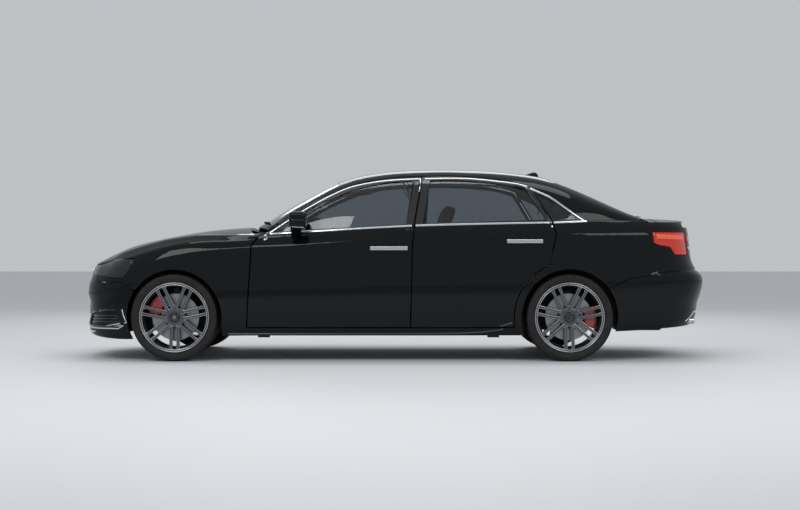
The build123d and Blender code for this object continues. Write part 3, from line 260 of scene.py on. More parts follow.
# %% Brake iron: ground disc faces with circular grinding lines, one material for each axle
def brake_iron(name, x):
    made, tree, shader = finish(name, "#8E9092", 0.34, 1.0)
    place = add(tree, "ShaderNodeTexCoord")
    centred = add(tree, "ShaderNodeMapping", {"Vector": place.outputs["Object"], "Location": (-x, 0, -AXLE_HEIGHT),
                                              "Scale": (1, 0, 1)})
    reach = add(tree, "ShaderNodeVectorMath", {0: centred.outputs["Vector"]}, operation="LENGTH")
    lines = add(tree, "ShaderNodeTexNoise", {"W": reach.outputs["Value"], "Scale": 900.0, "Detail": 2.0},
                noise_dimensions="1D")
    tree.links.new(blend_colours(tree, lines.outputs["Fac"], "#6C6E70", "#A9ABAD"), shader.inputs["Base Color"])
    bump(tree, shader, lines.outputs["Fac"], 0.03, 0.6)
    return made


disc_iron = {end: brake_iron(f"ground_iron_{end}", x) for x, end in AXLES}

# %% Red caliper enamel
caliper_red, tree, shader = finish("red_caliper_enamel", "#A3141A", 0.3, Coat_Weight=0.8, Coat_Roughness=0.08)
cast = pattern(tree, 3.0, 3.0)
bump(tree, shader, cast.outputs["Fac"], 0.15, 0.5)
dust = pattern(tree, 25.0, 4.0)
tree.links.new(blend_colours(tree, vary(tree, dust.outputs["Fac"], -0.5, 1.2), "#B0161C", "#5E1214"),
               shader.inputs["Base Color"])

# %% Cast steel for the parts under the floor, with a brown bloom
under_steel, tree, shader = finish("undercoated_steel", "#3B3B3A", 0.55, 0.6)
bloom = pattern(tree, 40.0, 6.0)
tree.links.new(blend_colours(tree, bloom.outputs["Fac"], "#2B2C2D", "#4A423A"), shader.inputs["Base Color"])
bump(tree, shader, pattern(tree, 2.5, 3.0).outputs["Fac"], 0.2, 0.5)

# %% Leather: near-black hide with a pebble grain of 1.6 mm and soft creases, with painted shade darkening the low creases
leather, tree, shader = finish("black_leather_with_painted_crease_shade", "#1C1A19", 0.46, Sheen_Weight=0.15, Sheen_Roughness=0.5)
pebble = pattern(tree, 1.6, kind="ShaderNodeTexVoronoi", feature="SMOOTH_F1")
crease_and_painted_shade = pattern(tree, 70.0, 4.0)
both = add(tree, "ShaderNodeMath", {0: pebble.outputs["Distance"], 1: crease_and_painted_shade.outputs["Fac"]}, operation="ADD")
bump(tree, shader, both.outputs["Value"], 0.35, 0.6)
# Painted shade: the hide's colour is darker where the crease pattern is low and lighter where it is high.
tree.links.new(blend_colours(tree, crease_and_painted_shade.outputs["Fac"], "#161413", "#2B2725"), shader.inputs["Base Color"])
tree.links.new(vary(tree, pebble.outputs["Distance"], 0.36, 0.58), shader.inputs["Roughness"])

# %% Stitching thread, cabin plastic, carpet, mirror glass, rubber seal and the blank plate
thread, tree, shader = finish("grey_thread", "#77736C", 0.7, Sheen_Weight=0.4)
bump(tree, shader, pattern(tree, 1.0, 2.0, stretch=(1, 4, 1)).outputs["Fac"], 0.2, 0.6)
soft_plastic, tree, shader = finish("soft_dash_skin", "#1D1E20", 0.6)
bump(tree, shader, pattern(tree, 2.2, kind="ShaderNodeTexVoronoi").outputs["Distance"], 0.2, 0.6)
carpet, tree, shader = finish("loop_carpet", "#1A1A1C", 0.95, Sheen_Weight=0.5)
bump(tree, shader, pattern(tree, 2.5, kind="ShaderNodeTexVoronoi").outputs["Distance"], 1.2, 1.0)
mirror_glass, tree, shader = finish("silvered_glass", "#D5DADD", 0.02, 1.0)
tree.links.new(vary(tree, pattern(tree, 50.0, 5.0).outputs["Fac"], 0.01, 0.05), shader.inputs["Roughness"])
rubber_seal, tree, shader = finish("rubber_seal", "#0C0C0D", 0.5)
bump(tree, shader, pattern(tree, 1.5, 2.0).outputs["Fac"], 0.1, 0.4)
plate_blank, tree, shader = finish("blank_plate", "#D9DAD6", 0.3, Coat_Weight=0.4)
tree.links.new(blend_colours(tree, pattern(tree, 40.0, 4.0).outputs["Fac"], "#CFD0CC", "#E2E3DF"),
               shader.inputs["Base Color"])

# %% Cast engine metal
engine_metal, tree, shader = finish("cast_engine_metal", "#4B4C4E", 0.5, 0.7)
bump(tree, shader, pattern(tree, 3.0, 4.0).outputs["Fac"], 0.4, 0.6)

# %% Lamp glass, ruby skin, ruby bowl and guides
# The projector's glass is ground and polished. The tail lamp has a ruby acrylic skin over a red metallised bowl, whose
# ribs carry a painted highlight on their crests and painted shade between them.
lens_glass, tree, shader = finish("projector_glass", "#DDE6F0", 0.04, IOR=1.5, Coat_Weight=1.0)
swirl = pattern(tree, 12.0, 2.0)
tree.links.new(vary(tree, swirl.outputs["Fac"], 0.03, 0.09), shader.inputs["Roughness"])
red_skin, tree, shader = finish("ruby_acrylic_skin", "#D01C14", 0.05, IOR=1.49, Transmission_Weight=0.55, Coat_Weight=0.5,
                                Emission_Color=colour("#E8341C"), Emission_Strength=0.22)
fine = pattern(tree, 60.0, 2.0)
tree.links.new(vary(tree, fine.outputs["Fac"], 0.03, 0.08), shader.inputs["Roughness"])
red_bowl_painted_rib_light, tree, shader = finish("ruby_metallised_bowl_painted_rib_light", "#7A0A10", 0.25, 0.6)
ribs = pattern(tree, 9.0, kind="ShaderNodeTexWave", wave_type="BANDS", bands_direction="X")
bump(tree, shader, ribs.outputs["Fac"], 1.2)
# Painted highlight and shade: the bowl is bright red on the raised ribs and dark red between them.
tree.links.new(blend_colours(tree, ribs.outputs["Fac"], "#7A0C0A", "#C8281C"), shader.inputs["Base Color"])
red_guide, tree, shader = finish("red_light_guide", "#FF5A36", 0.2, Coat_Weight=0.6, Emission_Color=colour("#FF5430"),
                                 Emission_Strength=1.0)
notch = pattern(tree, 5.0, kind="ShaderNodeTexWave", wave_type="BANDS", bands_direction="X")
bump(tree, shader, notch.outputs["Fac"], 0.3)

# %% Dark chrome for the sill line
# Black chrome is plated over polished plastic, and mirrors the studio at about a fifth of its brightness.
dark_chrome, tree, shader = finish("dark_chrome", "#5A5E64", 0.16, 1.0)
haze = pattern(tree, 45.0, 3.0)
tree.links.new(vary(tree, haze.outputs["Fac"], 0.12, 0.24), shader.inputs["Roughness"])

# %% [markdown]
# ## Giving each CAD node its finish
# The record's slots say what a node is made of, so one table is enough.

# %% Paint the CAD nodes
SLOT_FINISH = {
    "paint": black_paint, "glass": tinted_glass, "lamp_clear": lamp_bowl, "lamp_red": red_lens,
    "grille_black": piano_black, "tyre": tyre_rubber, "rim_metal": gunmetal, "steel": under_steel,
    "engine": engine_metal, "dark_plastic": grained_plastic, "leather": leather, "bright": satin_chrome,
}
NODE_FINISH = {"dashboard": soft_plastic, "steering_wheel": leather,
               "front_disc_left": disc_iron["front"], "front_disc_right": disc_iron["front"],
               "rear_disc_left": disc_iron["rear"], "rear_disc_right": disc_iron["rear"]}
slot_of = {part["node"]: part["material_slot"] for part in frame["record"]["subparts"]}
body_of = {node: body for body, members in frame["record"]["behaviour"]["bodies"].items() for node in members}
for name, thing in nodes.items():
    thing.data.materials.clear()
    thing.data.materials.append(NODE_FINISH.get(name, SLOT_FINISH[slot_of[name]]))
print(len(nodes), "CAD nodes finished")

# %% [markdown]
# ## Finding the skin
# Trim is laid on the car by casting rays at the CAD panels, so it sits on the surface wherever the surface is.


# %% Ray casting
def tree_of(*names):
    """One search tree over several CAD nodes."""
    points, faces = [], []
    for name in names:
        mesh = nodes[name].data
        start = len(points)
        points += [v.co.copy() for v in mesh.vertices]
        faces += [[start + i for i in face.vertices] for face in mesh.polygons]
    return BVHTree.FromPolygons(points, faces)


def hit_side(search, x, z, side):
    """Where a ray from that side meets the nodes, and the outward normal there."""
    spot, normal, _, _ = search.ray_cast(Vector((x, side * 2.0, z)), Vector((0, -side, 0)))
    if spot is None:
        spot, normal, _, _ = search.find_nearest(Vector((x, side * 0.95, z)))
    if normal.y * side < 0:
        normal = -normal
    return spot, normal


def resample(points, step):
    """Points evenly about step apart along a smooth curve through the given ones."""
    points = [Vector(p) for p in points]
    smooth = []
    for i in range(len(points) - 1):
        before = points[max(i - 1, 0)]
        after = points[min(i + 2, len(points) - 1)]
        a, b = points[i], points[i + 1]
        count = max(2, math.ceil((b - a).length / step))
        for k in range(count):
            t = k / count
            smooth.append(0.5 * (2 * a + (b - before) * t + (2 * before - 5 * a + 4 * b - after) * t ** 2
                                 + (3 * a - before - 3 * b + after) * t ** 3))
    smooth.append(points[-1])
    return smooth


# %% Making meshes
def mesh_piece(name, points, faces, material, smooth=True):
    """A new object from points and faces."""
    mesh = bpy.data.meshes.new(name)
    mesh.from_pydata([tuple(p) for p in points], [], faces)
    mesh.validate()
    made = bmesh.new()
    made.from_mesh(mesh)
    bmesh.ops.recalc_face_normals(made, faces=made.faces)
    made.to_mesh(mesh)
    made.free()
    mesh.polygons.foreach_set("use_smooth", [smooth] * len(mesh.polygons))
    mesh.materials.append(material)
    thing = bpy.data.objects.new(name, mesh)
    scene.collection.objects.link(thing)
    return thing


def place_on(thing, body):
    """Ride on that body."""
    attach(thing, body)
    return thing


def joined(name, things, material=None):
    """Several mesh objects as one."""
    mesh = bpy.data.meshes.new(name)
    made = bmesh.new()
    materials = []
    for thing in things:
        part = thing.data.copy()
        part.transform(thing.matrix_world)
        for m in part.materials:
            if m not in materials:
                materials.append(m)
        shift = {i: materials.index(m) for i, m in enumerate(part.materials)}
        for face in part.polygons:
            face.material_index = shift.get(face.material_index, 0)
        made.from_mesh(part)
        bpy.data.objects.remove(thing)
    made.to_mesh(mesh)
    made.free()
    for m in materials:
        mesh.materials.append(m)
    whole = bpy.data.objects.new(name, mesh)
    scene.collection.objects.link(whole)
    return whole


def sweep(name, path, normals, outline, material, closed=False, scale=None):
    """A strip: outline is (across, out) pairs in metres, carried along the path with out along the normals."""
    count = len(path)
    points, faces = [], []
    for i, spot in enumerate(path):
        ahead = path[(i + 1) % count] if closed or i < count - 1 else spot
        behind = path[i - 1] if closed or i > 0 else spot
        along = (ahead - behind).normalized()
        out = (normals[i] - along * normals[i].dot(along)).normalized()
        across = along.cross(out)
        size = scale[i] if scale else 1.0
        points += [spot + across * (u * size) + out * (v * size) for u, v in outline]
    width = len(outline)
    rings = count if closed else count - 1
    for i in range(rings):
        a, b = i * width, ((i + 1) % count) * width
        faces += [(a + k, a + (k + 1) % width, b + (k + 1) % width, b + k) for k in range(width)]
    if not closed:
        faces += [tuple(range(width)), tuple(range((count - 1) * width, count * width))]
    return mesh_piece(name, points, faces, material)


def oval(half_width, height, foot=0.0, steps=10):
    """The outline of a crowned strip that sits foot below the skin."""
    arc = [(half_width * math.cos(math.pi * k / steps), height * math.sin(math.pi * k / steps) ** 0.8)
           for k in range(steps + 1)]
    return arc + [(-half_width, -foot), (half_width, -foot)]


def lathe(name, profile, centre, material, steps=96, closed=True):
    """A turned piece about the wheel's axis: profile is (radius, y) pairs."""
    points, faces = [], []
    for k in range(steps):
        angle = 2 * math.pi * k / steps
        points += [Vector(centre) + Vector((r * math.cos(angle), y, r * math.sin(angle))) for r, y in profile]
    width = len(profile)
    spans = width if closed else width - 1
    for k in range(steps):
        a, b = k * width, ((k + 1) % steps) * width
        faces += [(a + i, a + (i + 1) % width, b + (i + 1) % width, b + i) for i in range(spans)]
    return mesh_piece(name, points, faces, material)


# %% [markdown]
# ## Repeating with Geometry Nodes
# Tread blocks, spokes and wheel nuts all repeat one unit by a turn and a step. The node group has named inputs. Its
# result is read back as a plain mesh, so nothing live is left on the piece.

# %% The repeat group
repeat_group = bpy.data.node_groups.new("repeat_unit", "GeometryNodeTree")
for name, kind, default in (("Unit", "NodeSocketObject", None), ("Count", "NodeSocketInt", 8),
                            ("Turn", "NodeSocketVector", (0, 0, 0)), ("Step", "NodeSocketVector", (0, 0, 0)),
                            ("Material", "NodeSocketMaterial", None)):
    socket = repeat_group.interface.new_socket(name, in_out="INPUT", socket_type=kind)
    if default is not None:
        socket.default_value = default
repeat_group.interface.new_socket("Geometry", in_out="OUTPUT", socket_type="NodeSocketGeometry")
given = add(repeat_group, "NodeGroupInput")
unit = add(repeat_group, "GeometryNodeObjectInfo", {"Object": given.outputs["Unit"]})
index = add(repeat_group, "GeometryNodeInputIndex")
shift = add(repeat_group, "ShaderNodeVectorMath", {0: given.outputs["Step"], "Scale": index.outputs[0]},
            operation="SCALE")
spin = add(repeat_group, "ShaderNodeVectorMath", {0: given.outputs["Turn"], "Scale": index.outputs[0]},
           operation="SCALE")
spots = add(repeat_group, "GeometryNodePoints", {"Count": given.outputs["Count"]})
moved = add(repeat_group, "GeometryNodeSetPosition", {"Geometry": spots.outputs[0], "Position": shift.outputs[0]})
copies = add(repeat_group, "GeometryNodeInstanceOnPoints",
             {"Points": moved.outputs[0], "Instance": unit.outputs["Geometry"], "Rotation": spin.outputs[0]})
real = add(repeat_group, "GeometryNodeRealizeInstances", {0: copies.outputs[0]})
dressed = add(repeat_group, "GeometryNodeSetMaterial",
              {"Geometry": real.outputs[0], "Material": given.outputs["Material"]})
add(repeat_group, "NodeGroupOutput", {"Geometry": dressed.outputs[0]})


def repeat(name, unit_piece, count, material, turn=(0, 0, 0), step=(0, 0, 0), centre=(0, 0, 0)):
    """count copies of unit_piece, which is modelled at the origin and removed afterwards."""
    carrier = bpy.data.objects.new(name, bpy.data.meshes.new(name))
    scene.collection.objects.link(carrier)
    modifier = carrier.modifiers.new("repeat", "NODES")
    modifier.node_group = repeat_group
    values = {"Unit": unit_piece, "Count": count, "Turn": turn, "Step": step, "Material": material}
    for item in repeat_group.interface.items_tree:
        if item.item_type == "SOCKET" and item.in_out == "INPUT":
            modifier[item.identifier] = values[item.name]
    bpy.context.view_layer.update()
    evaluated = carrier.evaluated_get(bpy.context.evaluated_depsgraph_get())
    mesh = bpy.data.meshes.new_from_object(evaluated)
    carrier.modifiers.remove(modifier)
    mesh.transform(Matrix.Translation(Vector(centre)))
    carrier.data = mesh
    if not mesh.materials:
        mesh.materials.append(material)
    bpy.data.objects.remove(unit_piece)
    return carrier


# %% [markdown]
# ## Wheels
# The photograph shows low-profile tyres on dark seven-spoke wheels, each spoke split in two, with bright edges and
# a stepped bright lip, a red caliper behind.

# %% Tyres: a turned carcass with sidewall steps, circumferential grooves and a ring of tread blocks
half = TYRE_HALF_WIDTH


def tyre_profile(side):
    """(radius, y) of the tyre's section; side is the outward direction. The bead is at the rim."""
    right = [(0.272, 0.098), (0.276, 0.112), (0.284, 0.1165), (0.289, 0.1155), (0.291, 0.1175), (0.302, 0.1205),
             (0.306, 0.1195), (0.309, 0.1208), (0.3165, 0.1195), (0.3195, 0.1178), (0.323, 0.1172),
             (0.328, 0.1128), (0.3315, 0.1065), (0.3335, 0.098)]
    crown = [(0.3345, 0.090), (0.3350, 0.0635), (0.3280, 0.0625), (0.3280, 0.0565), (0.3352, 0.0555),
             (0.3352, 0.0235), (0.3280, 0.0225), (0.3280, 0.0155), (0.3352, 0.0145)]
    half_section = right + crown
    mirrored = [(r, -y) for r, y in reversed(half_section)]
    return [(r, y * side) for r, y in half_section + mirrored]


def tread_unit():
    """One pitch of the tread: two shoulder blocks with a sipe, two ribs, all slanted, and proud of the carcass."""
    points, faces = [], []
    pitch = 2 * math.pi / 60
    for y0, y1, skew, wide in ((0.1175, 0.066, 0.35, 0.80), (0.054, 0.025, 0.25, 0.86), (0.0135, -0.0135, 0.2, 0.90),
                               (-0.025, -0.054, 0.25, 0.86), (-0.066, -0.1175, -0.35, 0.80)):
        for part in range(2):
            low = (-0.5 + part * 0.5 + 0.03) * wide
            high = (-0.5 + part * 0.5 + 0.47) * wide
            base = len(points)
            for radius_share in (0, 1):
                for s, y in ((low, y0), (high, y0), (high, y1), (low, y1)):
                    angle = pitch * (s + skew * (y - (y0 + y1) / 2) / abs(y1 - y0))
                    drop = 0.0095 * max(0.0, (abs(y) - 0.092) / 0.0255) ** 2
                    radius = 0.3325 - drop if radius_share == 0 else 0.3398 - drop
                    points.append((radius * math.sin(angle), y, radius * math.cos(angle)))
            faces += [tuple(base + i for i in f) for f in
                      ((0, 1, 2, 3), (7, 6, 5, 4), (0, 4, 5, 1), (1, 5, 6, 2), (2, 6, 7, 3), (3, 7, 4, 0))]
    return mesh_piece("tread_unit", points, faces, tyre_rubber, smooth=False)


def wheel_name(end, hand, word):
    return f"{end}_{word}_{hand}"


for side, hand in HANDS:
    for x, end in AXLES:
        centre = (x, side * TRACK_HALF, AXLE_HEIGHT)
        carcass = lathe("carcass", tyre_profile(side), centre, tyre_rubber, steps=120)
        blocks = repeat("blocks", tread_unit(), 60, tyre_rubber, turn=(0, 2 * math.pi / 60, 0), centre=centre)
        tyre = joined(f"tyre_{end}_{hand}", [carcass, blocks])
        place_on(tyre, f"{end}_wheel_{hand}")
        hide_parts(f"{end}_tyre_{hand}")
print("tyre", len(tyre.data.polygons), "faces")

# %% [markdown]
# ### The alloy wheels
# Each wheel has a barrel with a stepped lip, seven pairs of slim spokes and a deep hub with five bolts. The barrel,
# the hub and the cap are turned, and the spokes and bolts repeat, so Geometry Nodes copy one pair and one bolt.
# The spokes' bevelled edges are cut bright on a lathe after the wheel is painted, so they are strips of their own.

# %% Wheel profiles and the spoke pair
SPOKE_HALF = 0.0125
SPOKE_SHIFT = 0.0245
SPOKE_COLUMNS = ("radius", "face", "back", "half width")
SPOKE_STATIONS = ((0.052, 0.0830, 0.058, 0.0135), (0.080, 0.0845, 0.056, 0.0130), (0.120, 0.0870, 0.057, 0.0118),
                  (0.160, 0.0905, 0.060, 0.0112), (0.200, 0.0950, 0.065, 0.0114), (0.228, 0.0985, 0.069, 0.0125),
                  (0.246, 0.1015, 0.074, 0.0150), (0.252, 0.1030, 0.080, 0.0165))


def spoke_pair(side):
    """Two spokes that stand straight up from the hub, with a rounded face, about the wheel's centre."""
    points, faces = [], []
    for way in (-1, 1):
        first = len(points)
        for radius, face, back, half_width in SPOKE_STATIONS:
            centre = way * (SPOKE_SHIFT + 0.004 * (radius - 0.052) / 0.2)
            outline = ((-half_width, back), (-half_width, face - 0.005), (-half_width + 0.003, face - 0.0012),
                       (-half_width * 0.4, face - 0.0004), (half_width * 0.4, face - 0.0004),
                       (half_width - 0.003, face - 0.0012), (half_width, face - 0.005), (half_width, back))
            points += [(centre + u, side * v, radius) for u, v in outline]
        width = 8
        for ring in range(len(SPOKE_STATIONS) - 1):
            a, b = first + ring * width, first + (ring + 1) * width
            faces += [(a + k, a + (k + 1) % width, b + (k + 1) % width, b + k) for k in range(width)]
        last = first + (len(SPOKE_STATIONS) - 1) * width
        faces += [tuple(range(first, first + width)), tuple(range(last, last + width))]
    return mesh_piece("spoke_pair", points, faces, gunmetal)


def bright_edges(side):
    """The lathe-cut bevels of a spoke pair: four slim strips that stand 0.3 mm proud."""
    points, faces = [], []
    for way in (-1, 1):
        for edge in (-1, 1):
            first = len(points)
            for radius, face, back, half_width in SPOKE_STATIONS:
                centre = way * (SPOKE_SHIFT + 0.004 * (radius - 0.052) / 0.2)
                outline = ((half_width + 0.0003, face - 0.0060), (half_width + 0.0003, face - 0.0046),
                           (half_width - 0.0028, face - 0.0006), (half_width - 0.0040, face - 0.0008),
                           (half_width - 0.0030, face - 0.0050))
                points += [(centre + edge * u, side * v, radius) for u, v in outline]
            for ring in range(len(SPOKE_STATIONS) - 1):
                a, b = first + ring * 5, first + (ring + 1) * 5
                faces += [(a + k, a + (k + 1) % 5, b + (k + 1) % 5, b + k) for k in range(5)]
    return mesh_piece("bright_edges", points, faces, turned_alloy)


def bolt_unit(side):
    """A wheel bolt in its conical seat: a ring of shade and a six-sided head."""
    points, faces = [], []
    for radius, depth in ((0.0150, 0.0815), (0.0128, 0.0722), (0.0085, 0.0722), (0.0085, 0.0790), (0.0060, 0.0806)):
        points += [(radius * math.cos(math.pi * k / 6), side * depth, 0.062 + radius * math.sin(math.pi * k / 6))
                   for k in range(12)]
    for ring in range(4):
        a, b = ring * 12, (ring + 1) * 12
        faces += [(a + k, a + (k + 1) % 12, b + (k + 1) % 12, b + k) for k in range(12)]
    faces.append(tuple(range(48, 60)))
    return mesh_piece("bolt_unit", points, faces, satin_chrome, smooth=False)


BARREL = ((0.2590, 0.0990), (0.2700, 0.1020), (0.2705, 0.1085), (0.2680, 0.1100), (0.2640, 0.1095), (0.2600, 0.1050),
          (0.2570, 0.1040), (0.2500, 0.1030), (0.2480, 0.0990), (0.2465, 0.0820), (0.2390, 0.0660), (0.2335, 0.0500),
          (0.2330, -0.0880), (0.2500, -0.1070), (0.2700, -0.1090), (0.2700, -0.1020), (0.2585, -0.0990),
          (0.2560, -0.0800), (0.2450, -0.0650), (0.2440, 0.0500), (0.2560, 0.0750))
LIP = ((0.2712, 0.1040), (0.2712, 0.1092), (0.2690, 0.1108), (0.2645, 0.1104), (0.2618, 0.1082), (0.2622, 0.1060))
STEP = ((0.2562, 0.1036), (0.2545, 0.1052), (0.2500, 0.1048), (0.2484, 0.1030), (0.2490, 0.1000), (0.2550, 0.1010))
HUB = ((0.0, 0.0362), (0.0840, 0.0362), (0.0875, 0.0560), (0.0860, 0.0700), (0.0800, 0.0760), (0.0770, 0.0800),
       (0.0730, 0.0820), (0.0440, 0.0845), (0.0405, 0.0835), (0.0395, 0.0790), (0.0, 0.0790))
CAP = ((0.0388, 0.0780), (0.0388, 0.0870), (0.0375, 0.0892), (0.0340, 0.0902), (0.0325, 0.0895), (0.0280, 0.0898),
       (0.0180, 0.0908), (0.0, 0.0912), (0.0, 0.0780))

# %% Build the four wheels
for side, hand in HANDS:
    for x, end in AXLES:
        centre = (x, side * TRACK_HALF, AXLE_HEIGHT)
        turn = (0, 2 * math.pi / 7, 0)
        start = math.pi
        made = [lathe("barrel", [(r, y * side) for r, y in BARREL], centre, gunmetal),
                lathe("lip", [(r, y * side) for r, y in LIP], centre, turned_alloy),
                lathe("step", [(r, y * side) for r, y in STEP], centre, turned_alloy),
                lathe("hub", [(r, y * side) for r, y in HUB], centre, gunmetal, steps=64),
                lathe("cap", [(r, y * side) for r, y in CAP], centre, piano_black, steps=64)]
        for unit_piece, word, metal in ((spoke_pair(side), "spokes", gunmetal), (bright_edges(side), "bevels", turned_alloy)):
            unit_piece.data.transform(Matrix.Rotation(start, 4, "Y"))
            made.append(repeat(word, unit_piece, 7, metal, turn=turn, centre=centre))
        bolt = bolt_unit(side)
        bolt.data.transform(Matrix.Rotation(start + math.pi / 5, 4, "Y"))
        made.append(repeat("bolts", bolt, 5, satin_chrome, turn=(0, 2 * math.pi / 5, 0), centre=centre))
        wheel = joined(f"wheel_{end}_{hand}", made)
        place_on(wheel, f"{end}_wheel_{hand}")
        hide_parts(f"{end}_rim_{hand}")
print("wheel", len(wheel.data.polygons), "faces")

# %% [markdown]
# ### Red calipers
# A caliper straddles the disc like a clamp. Its outside is a cast, ribbed block that follows the disc's rim. It is
# swept round the axle, sector by sector, and sits over the plain CAD one, on the knuckle in front and on the body at
# the rear.


# %% Caliper castings
def caliper(name, x, side, middle, span, body):
    """A rounded casting from r 112 to 220 mm round the disc, centred at that angle from the tail, in degrees."""
    points, faces = [], []
    section = ((0.116, 0.022), (0.112, 0.034), (0.118, 0.046), (0.150, 0.050), (0.160, 0.047), (0.190, 0.050), (0.208, 0.046),
               (0.219, 0.034), (0.2195, -0.030), (0.212, -0.044), (0.150, -0.046), (0.118, -0.044), (0.114, -0.024),
               (0.190, -0.024), (0.194, 0.0), (0.190, 0.022))
    steps = 18
    for k in range(steps + 1):
        share = k / steps
        pull = 1.0 - 0.10 * max(0.0, abs(share - 0.5) * 2 - 0.72) / 0.28
        ridge = 0.0018 * math.cos(share * math.pi * 6) ** 8
        angle = math.radians(middle + (share - 0.5) * span)
        for radius, y in section:
            r = 0.166 + (radius - 0.166) * pull
            out = y * (0.80 + 0.20 * pull) + (ridge if y > 0.04 else 0)
            points.append((x + r * math.cos(angle), side * (TRACK_HALF + out), AXLE_HEIGHT + r * math.sin(angle)))
    width = len(section)
    for k in range(steps):
        a, b = k * width, (k + 1) * width
        faces += [(a + i, a + (i + 1) % width, b + (i + 1) % width, b + i) for i in range(width)]
    faces += [tuple(range(width)), tuple(range(steps * width, steps * width + width))]
    return place_on(mesh_piece(name, points, faces, caliper_red), body)


for side, hand in HANDS:
    caliper(f"caliper_front_{hand}", FRONT_AXLE, side, 150, 50, f"front_knuckle_{hand}")
    caliper(f"caliper_rear_{hand}", REAR_AXLE, side, 0, 50, "car_body")

# %% [markdown]
# ## Bright trim round the windows
# A polished strip about 17 mm wide runs round the side windows, above the glass and along the belt. It is split at
# the door gaps, because each length rides on its own door. A black rubber seal lies between it and the glass.

# %% Window trim
FRONT_END = 0.128
FRONT_END_TOP = 0.202
REAR_START = 0.158
REAR_START_TOP = 0.231
REAR_END = 1.2140
REAR_END_TOP = 1.0360
QUARTER_START = 1.2290
QUARTER_START_TOP = 1.0580


def between(points, low, high):
    """The part of a line whose x lies between low and high, with its ends cut there."""
    kept = []
    for a, b in zip(points, points[1:]):
        for p, q in ((a, b), (b, a)):
            pass
        x0, x1 = a[0], b[0]
        lo, hi = max(low, min(x0, x1)), min(high, max(x0, x1))
        if lo >= hi:
            continue
        for x in (lo, hi) if x0 < x1 else (hi, lo):
            t = (x - x0) / (x1 - x0)
            spot = (x, a[1] + (b[1] - a[1]) * t)
            if not kept or abs(kept[-1][0] - spot[0]) > 1e-5:
                kept.append(spot)
    return kept


def moved_in(points, amount, centre=(0.25, 1.2)):
    """A side-view line moved towards the window's middle by amount."""
    out = []
    for i, p in enumerate(points):
        a, b = points[max(i - 1, 0)], points[min(i + 1, len(points) - 1)]
        d = Vector((b[0] - a[0], b[1] - a[1])).normalized()
        n = Vector((-d.y, d.x))
        if n.dot(Vector((centre[0] - p[0], centre[1] - p[1]))) < 0:
            n = -n
        out.append((p[0] + n.x * amount, p[1] + n.y * amount))
    return out


def side_line(points, search, side, step=0.02, lift=0.0):
    """A side-view line laid on the skin: its points and normals."""
    spots, normals = [], []
    for p in resample([(x, 0, z) for x, z in points], step):
        spot, normal = hit_side(search, p.x, p.z, side)
        spots.append(spot + normal * lift)
        normals.append(normal)
    for _ in range(2):
        normals = [(normals[max(i - 1, 0)] + n + normals[min(i + 1, len(normals) - 1)]).normalized()
                   for i, n in enumerate(normals)]
    return spots, normals


def trim(name, points, search, side, half_width, height, material, body, lift=0.0, foot=0.003, step=0.02):
    """A crowned strip along a side-view line."""
    spots, normals = side_line(points, search, side, step, lift)
    strip = sweep(name, spots, normals, oval(half_width, height, foot), material)
    return place_on(strip, body)


rail_line = [tuple(p) for p in RAIL]
belt_line = [tuple(p) for p in BELT]
SPANS = (("front_door", -1.02, FRONT_END, -1.02, FRONT_END_TOP), ("rear_door", REAR_START, REAR_END, REAR_START_TOP, REAR_END_TOP),
         ("quarter", QUARTER_START, 1.488, QUARTER_START_TOP, 1.486))
for side, hand in HANDS:
    for word, b0, b1, r0, r1 in SPANS:
        if word == "quarter":
            search, body = tree_of("upper_frames", "quarter_panels", "quarter_glass"), "car_body"
        else:
            search, body = tree_of(f"{word}_{hand}", f"{word}_glass_{hand}"), f"{word}_{hand}"
        fine_belt = [(p.x, p.z) for p in resample([(x, 0, z) for x, z in belt_line], 0.02)]
        fine_rail = [(p.x, p.z) for p in resample([(x, 0, z) for x, z in rail_line], 0.02)]
        belt = between(fine_belt, b0, b1)
        rail = between(fine_rail, r0, r1)
        trim(f"belt_trim_{word}_{hand}", moved_in(belt, 0.006), search, side, 0.0085, 0.0042, bright_trim, body)
        trim(f"rail_trim_{word}_{hand}", moved_in(rail, 0.006), search, side, 0.0080, 0.0042, bright_trim, body)
        trim(f"belt_seal_{word}_{hand}", moved_in(belt, 0.0175), search, side, 0.0045, 0.0020, rubber_seal, body)
        trim(f"rail_seal_{word}_{hand}", moved_in(rail, 0.0175), search, side, 0.0045, 0.0020, rubber_seal, body)

# %% [markdown]
# ### Pillar covers, the divider bar and the sill line
# The middle pillar is covered by gloss black plates, one on each door. A black bar divides the rear door's glass from
# the fixed quarter glass. A bright line runs along the sill and kicks up in front of the rear wheel.


# %% Plates and bars
def side_plate(name, corners, search, side, material, body, proud=0.0015, columns=4, rows=14):
    """A thin plate on the skin inside four side-view corners, foot front, foot rear, top rear, top front."""
    grid = []
    for r in range(rows + 1):
        v = r / rows
        row = []
        for c in range(columns + 1):
            u = c / columns
            low = Vector(corners[0]).lerp(Vector(corners[1]), u)
            high = Vector(corners[3]).lerp(Vector(corners[2]), u)
            p = low.lerp(high, v)
            spot, normal = hit_side(search, p.x, p.y, side)
            row.append((spot, normal))
        grid.append(row)
    points, faces = [], []
    for height in (proud, -0.003):
        points += [s + n * height for row in grid for s, n in row]
    width, tall = columns + 1, rows + 1
    size = width * tall
    for r in range(rows):
        for c in range(columns):
            a = r * width + c
            faces.append((a, a + 1, a + width + 1, a + width))
            faces.append((size + a, size + a + width, size + a + width + 1, size + a + 1))
    rim = [c for c in range(width)] + [r * width + columns for r in range(1, tall)]
    rim += [rows * width + c for c in range(columns - 1, -1, -1)] + [r * width for r in range(rows - 1, 0, -1)]
    for a, b in zip(rim, rim[1:] + rim[:1]):
        faces.append((a, b, size + b, size + a))
    return place_on(mesh_piece(name, points, faces, material, smooth=False), body)


